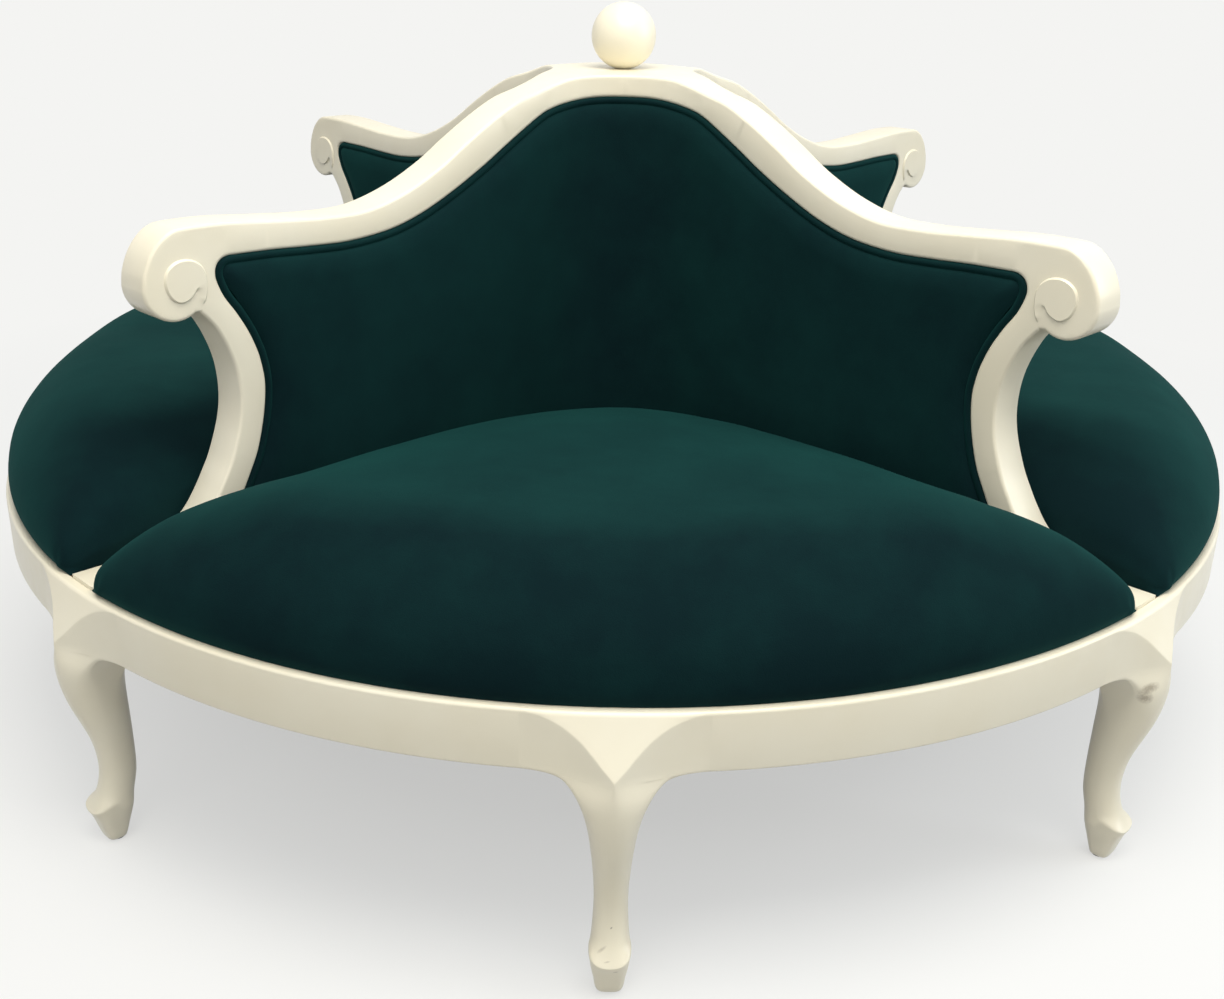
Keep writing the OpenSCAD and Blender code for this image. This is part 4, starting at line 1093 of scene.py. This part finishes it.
# Marks in the lacquer, by leg: place, half sizes along the mark and across it, slant, and how dark it is.
MARKS = {
    1: [((0.001, -0.952, 0.094), (0.0026, 0.0012), 50, 0.7),
        ((-0.009, -0.957, 0.070), (0.0085, 0.0022), 38, 0.4),
        ((-0.003, -0.963, 0.059), (0.0050, 0.0012), 10, 0.35),
        ((0.007, -0.964, 0.046), (0.0045, 0.0011), 6, 0.7)],
    2: [((0.6660, -0.7075, 0.2800), (0.0190, 0.0095), 12, 0.6),
        ((0.6630, -0.7080, 0.2670), (0.0150, 0.0110), -24, 0.6)],
}


def ivory_lacquer(name, paint, marks=()):
    """Sprayed ivory lacquer over carved beech: a soft satin gloss, a little yellowed, faintly uneven."""
    material, tree, place = start_finish(name)
    # Yellowing in clouds about 15 cm across, with a finer mottle.
    cloud = add_node(tree, "ShaderNodeTexNoise", {"Scale": 7, "Detail": 3}, {"Vector": place})
    yellowed = add_node(tree, "ShaderNodeMapRange", {"From Min": 0.35, "From Max": 0.75, "To Max": 0.55},
                        {"Value": cloud.outputs["Fac"]})
    tone = add_node(tree, "ShaderNodeMix", {
        "data_type": "RGBA", FIRST: (*paint.lacquer, 1), SECOND: (*paint.lacquer_aged, 1)},
        {"Factor": yellowed.outputs[0]})
    for spot, (long, across), slant, dark in marks:
        near = add_node(tree, "ShaderNodeMapping", {
            "vector_type": "TEXTURE", "Location": spot, "Rotation": (0, math.radians(-slant), 0),
            "Scale": (long, MARK_DEPTH, across)}, {"Vector": place})
        blot = add_node(tree, "ShaderNodeTexGradient", {"gradient_type": "SPHERICAL"},
                        {"Vector": near.outputs[0]})
        # Lacquer chips and rubs off unevenly, in flecks of a few millimetres.
        flecks = add_node(tree, "ShaderNodeTexNoise", {"Scale": 260, "Detail": 5, "Roughness": 0.7},
                          {"Vector": place})
        broken = add_node(tree, "ShaderNodeMath", {"operation": "MULTIPLY"},
                          {0: blot.outputs["Fac"], 1: flecks.outputs["Fac"]})
        worn = add_node(tree, "ShaderNodeMapRange", {"From Min": 0.06, "From Max": 0.4, "To Max": dark},
                        {"Value": broken.outputs[0]})
        tone = add_node(tree, "ShaderNodeMix", {"data_type": "RGBA", SECOND: (*paint.scuff, 1)},
                        {"Factor": worn.outputs[0], FIRST: tone.outputs[MIXED]})
    # The gloss changes a little over patches of about 2 cm.
    handled = add_node(tree, "ShaderNodeTexNoise", {"Scale": 60, "Detail": 3}, {"Vector": place})
    gloss = add_node(tree, "ShaderNodeMapRange", {
        "From Min": 0.3, "From Max": 0.7, "To Min": 0.34, "To Max": 0.46}, {"Value": handled.outputs["Fac"]})
    # The spray's orange peel is under a millimetre across; it is drawn at 2 mm so that it shows.
    orange = add_node(tree, "ShaderNodeTexNoise", {"Scale": 450}, {"Vector": place})
    peel = add_node(tree, "ShaderNodeBump", {"Strength": 0.10, "Distance": 0.0004},
                    {"Height": orange.outputs["Fac"]})
    # Sanding left the carving a little uneven over a few centimetres.
    sanded = add_node(tree, "ShaderNodeTexNoise", {"Scale": 26}, {"Vector": place})
    uneven = add_node(tree, "ShaderNodeBump", {"Strength": 0.18, "Distance": 0.0012},
                      {"Height": sanded.outputs["Fac"], "Normal": peel.outputs[0]})
    return end_finish(material, {"Coat Weight": 0.22, "Coat Roughness": 0.16, "IOR": 1.5}, {
        "Base Color": tone.outputs[MIXED], "Roughness": gloss.outputs[0], "Normal": uneven.outputs[0]})


def cut_velvet(name, paint, dark_until, light_from):
    """Woven cotton velvet with a short cut pile: nearly matt, its colour painted dark face on and lighter at
    a slant, a painted sheen.
    """
    material, tree, place = start_finish(name)
    # The pile is brushed in patches about 12 cm across.
    brushed = add_node(tree, "ShaderNodeTexNoise", {"Scale": 8, "Detail": 4, "Roughness": 0.6},
                       {"Vector": place})
    # A 1 mm pile is drawn at 1.5 mm so that it shows.
    pile = add_node(tree, "ShaderNodeTexNoise", {"Scale": 650}, {"Vector": place})
    both = add_node(tree, "ShaderNodeMath", {"operation": "MULTIPLY_ADD", 1: 0.35},
                    {0: pile.outputs["Fac"], 2: brushed.outputs["Fac"]})
    nap = add_node(tree, "ShaderNodeMapRange", {
        "From Min": 0.35, "From Max": 1.05, "To Min": -0.2, "To Max": 0.4}, {"Value": both.outputs[0]})
    # Painted sheen: the colour is mixed lighter where the surface is seen at a slant and darker where it is
    # seen face on.
    slant = add_node(tree, "ShaderNodeLayerWeight")
    lit = add_node(tree, "ShaderNodeMapRange", {
        "From Min": dark_until, "From Max": light_from, "To Max": 0.8}, {"Value": slant.outputs["Facing"]})
    # The painted sheen and the brushed patches together set how far the colour goes to the lighter velvet.
    painted_sheen_and_nap = add_node(tree, "ShaderNodeMath", {"operation": "ADD", "use_clamp": True},
                       {0: lit.outputs[0], 1: nap.outputs[0]})
    tone = add_node(tree, "ShaderNodeMix", {
        "data_type": "RGBA", FIRST: (*paint.velvet, 1), SECOND: (*paint.velvet_nap_and_painted_sheen, 1)},
        {"Factor": painted_sheen_and_nap.outputs[0]})
    bump = add_node(tree, "ShaderNodeBump", {"Strength": 0.35, "Distance": 0.0006},
                    {"Height": pile.outputs["Fac"]})
    # Sitting leaves shallow dents a few centimetres across.
    pressed = add_node(tree, "ShaderNodeTexNoise", {"Scale": 30, "Detail": 3}, {"Vector": place})
    dents = add_node(tree, "ShaderNodeBump", {"Strength": 0.25, "Distance": 0.002},
                     {"Height": pressed.outputs["Fac"], "Normal": bump.outputs[0]})
    return end_finish(material, {
        "Roughness": 0.9, "Specular IOR Level": 0.04, "Sheen Weight": 0.10, "Sheen Roughness": 0.4,
        "Sheen Tint": (*paint.velvet_sheen, 1)},
        {"Base Color": tone.outputs[MIXED], "Normal": dents.outputs[0]})


def planed_wood(name, light, dark, rings):
    """Planed, unfinished wood: matt, with long grain."""
    material, tree, place = start_finish(name)
    stretched = add_node(tree, "ShaderNodeMapping", {"Scale": (1, 1, 7)}, {"Vector": place})
    grain = add_node(tree, "ShaderNodeTexNoise", {"Scale": rings, "Detail": 5, "Roughness": 0.6},
                     {"Vector": stretched.outputs[0]})
    flecks = add_node(tree, "ShaderNodeMapRange", {"From Min": 0.35, "From Max": 0.7},
                      {"Value": grain.outputs["Fac"]})
    tone = add_node(tree, "ShaderNodeMix", {"data_type": "RGBA", FIRST: (*light, 1), SECOND: (*dark, 1)},
                    {"Factor": flecks.outputs[0]})
    bump = add_node(tree, "ShaderNodeBump", {"Strength": 0.2, "Distance": 0.0005},
                    {"Height": grain.outputs["Fac"]})
    return end_finish(material, {"Roughness": 0.7},
                      {"Base Color": tone.outputs[MIXED], "Normal": bump.outputs[0]})


def plated_zinc(name, paint):
    """Bright zinc plate on steel screws: metallic, a little cloudy."""
    material, tree, place = start_finish(name)
    cloud = add_node(tree, "ShaderNodeTexNoise", {"Scale": 300, "Detail": 3}, {"Vector": place})
    dull = tuple(0.7 * c for c in paint.zinc)
    tone = add_node(tree, "ShaderNodeMix", {
        "data_type": "RGBA", FIRST: (*paint.zinc, 1), SECOND: (*dull, 1)}, {"Factor": cloud.outputs["Fac"]})
    gloss = add_node(tree, "ShaderNodeMapRange", {
        "From Min": 0.3, "From Max": 0.7, "To Min": 0.28, "To Max": 0.42}, {"Value": cloud.outputs["Fac"]})
    return end_finish(material, {"Metallic": 1},
                      {"Base Color": tone.outputs[MIXED], "Roughness": gloss.outputs[0]})


def spunbond_cloth(name, paint):
    """Black spunbond dust cloth: matt, with a fine embossed dot."""
    material, tree, place = start_finish(name)
    dots = add_node(tree, "ShaderNodeTexVoronoi", {"Scale": 400}, {"Vector": place})
    raised = add_node(tree, "ShaderNodeMapRange", {"From Max": 0.6}, {"Value": dots.outputs["Distance"]})
    pale = tuple(1.8 * c for c in paint.cloth)
    tone = add_node(tree, "ShaderNodeMix", {
        "data_type": "RGBA", FIRST: (*paint.cloth, 1), SECOND: (*pale, 1)}, {"Factor": raised.outputs[0]})
    bump = add_node(tree, "ShaderNodeBump", {"Strength": 0.4, "Distance": 0.0003},
                    {"Height": dots.outputs["Distance"]})
    return end_finish(material, {"Roughness": 0.95},
                      {"Base Color": tone.outputs[MIXED], "Normal": bump.outputs[0]})


def moulded_nylon(name, paint):
    """Moulded nylon glides: slightly glossy and rubbed by the floor."""
    material, tree, place = start_finish(name)
    rubbed = add_node(tree, "ShaderNodeTexNoise", {"Scale": 700, "Detail": 3}, {"Vector": place})
    dark = tuple(0.75 * c for c in paint.nylon)
    tone = add_node(tree, "ShaderNodeMix", {
        "data_type": "RGBA", FIRST: (*paint.nylon, 1), SECOND: (*dark, 1)}, {"Factor": rubbed.outputs["Fac"]})
    gloss = add_node(tree, "ShaderNodeMapRange", {
        "From Min": 0.3, "From Max": 0.7, "To Min": 0.4, "To Max": 0.6}, {"Value": rubbed.outputs["Fac"]})
    return end_finish(material, {}, {"Base Color": tone.outputs[MIXED], "Roughness": gloss.outputs[0]})


def finish_of(name):
    """A finish by its name, made when it is first needed."""
    if name in bpy.data.materials:
        return bpy.data.materials[name]
    paint = bpy.context.scene.settee_colours
    makers = {
        "ivory_lacquer": lambda: ivory_lacquer(name, paint),
        "ivory_lacquer_1": lambda: ivory_lacquer(name, paint, MARKS[1]),
        "ivory_lacquer_2": lambda: ivory_lacquer(name, paint, MARKS[2]),
        # The seats and the backs turn from dark to the painted sheen over different ranges of slant.
        "seat_velvet": lambda: cut_velvet(name, paint, 0.34, 0.80),
        "back_velvet": lambda: cut_velvet(name, paint, 0.0, 0.6),
        "planed_beech": lambda: planed_wood(name, paint.beech, paint.beech_dark, 45),
        "birch_plywood": lambda: planed_wood(name, paint.plywood, paint.beech_dark, 25),
        "plated_zinc": lambda: plated_zinc(name, paint),
        "spunbond_dust_cloth": lambda: spunbond_cloth(name, paint),
        "moulded_nylon": lambda: moulded_nylon(name, paint),
    }
    return makers[name]()


# Operators

class SETTEE_OT_wings(bpy.types.Operator):
    """Makes the four carved top rails and end posts."""
    bl_idname = "settee.wings"
    bl_label = "Wing frames"

    def execute(self, context):
        lacquer = finish_of("ivory_lacquer")
        rail, post = wing_meshes(context.scene.settee_sizes)
        for i in QUARTERS:
            add_piece(f"carved_top_rail_{i}", rail, lacquer, [f"top_rail_{i}"],
                      turn=wing_turn(i))
            add_piece(f"carved_end_post_{i}", post, lacquer, [f"end_post_{i}"],
                      turn=wing_turn(i))
        return {"FINISHED"}


class SETTEE_OT_legs(bpy.types.Operator):
    """Makes the eight cabriole legs."""
    bl_idname = "settee.legs"
    bl_label = "Legs"

    def execute(self, context):
        mesh = leg_mesh(context.scene.settee_sizes)
        for i in EIGHTHS:
            finish = f"ivory_lacquer_{i}" if i in MARKS else "ivory_lacquer"
            add_piece(f"carved_leg_{i}", mesh, finish_of(finish), [f"leg_{i}"],
                      turn=leg_turn(i))
        return {"FINISHED"}


class SETTEE_OT_apron(bpy.types.Operator):
    """Sweeps the eight curved apron rails."""
    bl_idname = "settee.apron"
    bl_label = "Apron rails"

    def execute(self, context):
        size = context.scene.settee_sizes
        lacquer = finish_of("ivory_lacquer")
        block = math.asin(size.block_half / size.ring_r)
        tree, keys = apron_tree()
        section = line_mesh("apron_section", apron_section(size), closed=True)
        mesh = grown_mesh("apron", section, tree, {
            keys["Radius"]: size.ring_r, keys["Start"]: block, keys["Sweep"]: EIGHTH - 2 * block,
            keys["Steps"]: 73, keys["Material"]: lacquer})
        for i in EIGHTHS:
            add_piece(f"curved_apron_rail_{i}", mesh, lacquer, [f"apron_rail_{i}"],
                      turn=leg_turn(i))
        return {"FINISHED"}


class SETTEE_OT_seats(bpy.types.Operator):
    """Makes the four crowned velvet seat pads."""
    bl_idname = "settee.seats"
    bl_label = "Seat pads"

    def execute(self, context):
        size = context.scene.settee_sizes
        mesh = subdivided(puffed(size, seat_pad_mesh(size)))
        for i in QUARTERS:
            pad = add_piece(f"velvet_seat_pad_{i}", mesh, finish_of("seat_velvet"),
                            [f"seat_pad_{i}"], sharp=0, turn=seat_turn(i))
        return {"FINISHED"}


class SETTEE_OT_backs(bpy.types.Operator):
    """Makes the four bent velvet back pads and the welts round them."""
    bl_idname = "settee.backs"
    bl_label = "Back pads"

    def execute(self, context):
        size = context.scene.settee_sizes
        velvet = finish_of("back_velvet")
        mesh = back_pad_mesh(size)
        tree, keys = welt_tree()
        welt = grown_mesh("welt", line_mesh("welt_path", welt_path(size)), tree, {
            keys["Radius"]: size.welt_r, keys["Sides"]: 14, keys["Material"]: velvet})
        for i in QUARTERS:
            pad = add_piece(f"velvet_back_pad_{i}", mesh, velvet, [f"back_pad_{i}"],
                            turn=seat_turn(i))
            add_piece(f"velvet_welt_{i}", welt, velvet, sharp=0, turn=seat_turn(i))
        return {"FINISHED"}


class SETTEE_OT_finial(bpy.types.Operator):
    """Makes the turned ball on top."""
    bl_idname = "settee.finial"
    bl_label = "Finial ball"

    def execute(self, context):
        add_piece("turned_finial_ball", ball_mesh(context.scene.settee_sizes), finish_of("ivory_lacquer"),
                  ["finial_ball"])
        return {"FINISHED"}


class SETTEE_OT_glides(bpy.types.Operator):
    """Sets the glides under the eight feet."""
    bl_idname = "settee.glides"
    bl_label = "Foot glides"

    def execute(self, context):
        size = context.scene.settee_sizes
        nylon = finish_of("moulded_nylon")
        tree, keys = glide_tree()
        feet = [(size.glide_at * math.cos(leg_turn(i)), size.glide_at * math.sin(leg_turn(i)), 0)
                for i in EIGHTHS]
        points = bpy.data.meshes.new("feet")
        points.from_pydata(feet, [], [])
        mesh = grown_mesh("glides", points, tree, {
            keys["Radius"]: size.glide_r, keys["Height"]: size.glide_h, keys["Material"]: nylon})
        add_piece("moulded_foot_glides", mesh, nylon, ["foot_glides"])
        return {"FINISHED"}


class SETTEE_OT_dust_cloth(bpy.types.Operator):
    """Stretches the dust cloth under the frame."""
    bl_idname = "settee.dust_cloth"
    bl_label = "Dust cloth"

    def execute(self, context):
        size = context.scene.settee_sizes
        mesh, area = dust_cloth(size)
        cloth = add_piece("stapled_dust_cloth", mesh, finish_of("spunbond_dust_cloth"),
                          ["dust_cover"])
        return {"FINISHED"}


# The finish of each CAD node that stays.
KEPT_FINISHES = {
    "centre_post": "ivory_lacquer",
    "hub_block": "planed_beech",
    "wing_bearer": "planed_beech",
    "seat_bearer": "planed_beech",
    "corner_blocks": "planed_beech",
    "apron_dowels": "planed_beech",
    "wing_dowels": "planed_beech",
    "bearer_dowels": "planed_beech",
    "seat_board": "birch_plywood",
    "back_board": "birch_plywood",
    "corner_screws": "plated_zinc",
}


class SETTEE_OT_inside(bpy.types.Operator):
    """Gives the pieces inside the settee their finishes."""
    bl_idname = "settee.inside"
    bl_label = "Frame inside"

    def execute(self, context):
        for name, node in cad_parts.items():
            for start, finish in KEPT_FINISHES.items():
                if name.startswith(start):
                    for place in node.material_slots:
                        place.link = "OBJECT"
                        place.material = finish_of(finish)
        return {"FINISHED"}


# The photograph's camera, found by fitting the ring, the feet and the wings. Distance and height are in
# ring radii, angles in radians, and the lens is a share of the picture's width.
CAMERA_AWAY, CAMERA_UP = 2.3363, 1.1919
CAMERA_SIDE, CAMERA_YAW, CAMERA_PITCH, CAMERA_ROLL = -0.0085, 0.0076, -0.385, 0.0227
CAMERA_FOCAL_SHARE = 1388 / 1224
SENSOR_MM = 36
# Soft boxes: place, side in metres, power in watts and tint. All are turned to a point over the floor.
LAMPS = (("ceiling_light", (0.2, -1.3, 3.1), 2.0, 78, (1.0, 0.97, 0.90)),
         ("window_light", (4.2, -0.6, 2.0), 2.2, 52, (0.86, 0.93, 1.0)),
         ("front_fill", (-1.6, -4.2, 2.0), 2.4, 15, (1.0, 0.98, 0.94)))
LAMPS_AIM = (0, 0, 0.5)
# Half the floor's side, and the share of its light that it throws back under the seats.
FLOOR_REACH, FLOOR_THROW = 60, 0.42


def camera_matrix(ring_r):
    """The place and the directions of the photograph's camera."""
    forward = Vector((math.sin(CAMERA_YAW) * math.cos(CAMERA_PITCH),
                      math.cos(CAMERA_YAW) * math.cos(CAMERA_PITCH), math.sin(CAMERA_PITCH)))
    right = Vector((math.cos(CAMERA_YAW), -math.sin(CAMERA_YAW), 0))
    up = right.cross(forward)
    tilt_right = math.cos(CAMERA_ROLL) * right + math.sin(CAMERA_ROLL) * up
    tilt_up = -math.sin(CAMERA_ROLL) * right + math.cos(CAMERA_ROLL) * up
    matrix = Matrix((tilt_right, tilt_up, -forward)).transposed().to_4x4()
    matrix.translation = ring_r * Vector((CAMERA_AWAY * math.sin(CAMERA_SIDE),
                                          -CAMERA_AWAY * math.cos(CAMERA_SIDE), CAMERA_UP))
    return matrix


def seen_share(tree):
    """1 for rays that the camera sees, straight or by way of a gloss or a glass, and 0 for the others."""
    ray = add_node(tree, "ShaderNodeLightPath").outputs
    mirrored = add_node(tree, "ShaderNodeMath", {"operation": "ADD", "use_clamp": True},
                        {0: ray["Is Glossy Ray"], 1: ray["Is Transmission Ray"]})
    return add_node(tree, "ShaderNodeMath", {"operation": "ADD", "use_clamp": True},
                    {0: ray["Is Camera Ray"], 1: mirrored.outputs[0]}).outputs[0]


class SETTEE_OT_stage(bpy.types.Operator):
    """Makes the floor, the lights and the photograph's camera."""
    bl_idname = "settee.stage"
    bl_label = "Stage"

    def execute(self, context):
        scene = context.scene
        paint = scene.settee_colours
        camera = linked("camera", bpy.data.cameras.new("camera"))
        camera.data.sensor_width = SENSOR_MM
        camera.data.lens = SENSOR_MM * CAMERA_FOCAL_SHARE
        camera.matrix_world = camera_matrix(scene.settee_sizes.ring_r)
        camera.data.clip_end = 200
        scene.camera = camera

        floor_mesh = bpy.data.meshes.new("floor")
        corners = [(FLOOR_REACH * x, FLOOR_REACH * y, 0) for x, y in ((-1, -1), (1, -1), (1, 1), (-1, 1))]
        floor_mesh.from_pydata(corners, [], [(0, 1, 2, 3)])
        floor_mesh.materials.append(self.floor_finish(paint))
        linked("floor", floor_mesh)

        world = bpy.data.worlds.new("pale_room")
        scene.world = world
        world.use_nodes = True
        sky = world.node_tree
        sky.nodes.clear()
        room = add_node(sky, "ShaderNodeBackground", {"Color": (0.93, 0.96, 1.0, 1), "Strength": 0.58})
        backdrop = add_node(sky, "ShaderNodeBackground", {"Color": (*paint.floor, 1), "Strength": 1.0})
        both = add_node(sky, "ShaderNodeMixShader", (), {
            0: seen_share(sky), 1: room.outputs[0], 2: backdrop.outputs[0]})
        add_node(sky, "ShaderNodeOutputWorld", (), {"Surface": both.outputs[0]})
        for name, place, size, power, tint in LAMPS:
            lamp = bpy.data.lights.new(name, "AREA")
            lamp.size, lamp.energy, lamp.color = size, power, tint
            light = linked(name, lamp)
            light.location = place
            light.rotation_euler = (Vector(LAMPS_AIM) - Vector(place)).to_track_quat("-Z", "Y").to_euler()
        scene.view_settings.view_transform = "Standard"
        return {"FINISHED"}

    def floor_finish(self, paint):
        """A plain matt floor that takes the settee's shadow and stays pale far away."""
        material, tree, place = start_finish("plain_floor")
        # The floor throws less light back under the seats than its pale look would.
        shown = seen_share(tree)
        dim = tuple(FLOOR_THROW * c for c in paint.floor)
        tone = add_node(tree, "ShaderNodeMix", {
            "data_type": "RGBA", FIRST: (*dim, 1), SECOND: (*paint.floor, 1)}, {"Factor": shown})
        surface = add_node(tree, "ShaderNodeBsdfPrincipled", {"Roughness": 0.9},
                           {"Base Color": tone.outputs[MIXED]})
        # From 0.6 to 2.6 m off the axis, shadow and lamplight give way to an even pale ground.
        away = add_node(tree, "ShaderNodeVectorMath", {"operation": "LENGTH"}, {0: place})
        even = add_node(tree, "ShaderNodeMapRange", {"From Min": 0.6, "From Max": 2.6, "To Min": 0.55},
                        {"Value": away.outputs["Value"]})
        share = add_node(tree, "ShaderNodeMath", {"operation": "MULTIPLY"}, {0: even.outputs[0], 1: shown})
        glow = add_node(tree, "ShaderNodeEmission", {"Color": (*paint.floor, 1), "Strength": 1.0})
        both = add_node(tree, "ShaderNodeMixShader", (),
                        {0: share.outputs[0], 1: surface.outputs[0], 2: glow.outputs[0]})
        add_node(tree, "ShaderNodeOutputMaterial", (), {"Surface": both.outputs[0]})
        return material


OPERATORS = (SETTEE_OT_stage, SETTEE_OT_wings, SETTEE_OT_legs, SETTEE_OT_apron, SETTEE_OT_seats,
             SETTEE_OT_backs, SETTEE_OT_finial, SETTEE_OT_glides, SETTEE_OT_dust_cloth, SETTEE_OT_inside)


class SETTEE_PT_panel(bpy.types.Panel):
    """Lists the settee's pieces, sizes and colours."""
    bl_idname = "SETTEE_PT_panel"
    bl_label = "Round settee"
    bl_space_type = "VIEW_3D"
    bl_region_type = "UI"
    bl_category = "Settee"

    def draw(self, context):
        for operator in OPERATORS:
            self.layout.operator(operator.bl_idname)
        for group in (context.scene.settee_sizes, context.scene.settee_colours):
            for name in group.__annotations__:
                self.layout.prop(group, name)


CLASSES = (SetteeSizes, SetteeColours, *OPERATORS, SETTEE_PT_panel)


def register():
    """Registers the add-on's classes and properties."""
    for item in CLASSES:
        bpy.utils.register_class(item)
    bpy.types.Scene.settee_sizes = bpy.props.PointerProperty(type=SetteeSizes)
    bpy.types.Scene.settee_colours = bpy.props.PointerProperty(type=SetteeColours)


def unregister():
    """Removes the add-on's classes and properties."""
    del bpy.types.Scene.settee_colours
    del bpy.types.Scene.settee_sizes
    for item in reversed(CLASSES):
        bpy.utils.unregister_class(item)


def main():
    """Registers the add-on and makes every piece in order."""
    register()
    for operator in OPERATORS:
        group, name = operator.bl_idname.split(".")
        getattr(getattr(bpy.ops, group), name)()


if __name__ == "__main__":
    main()
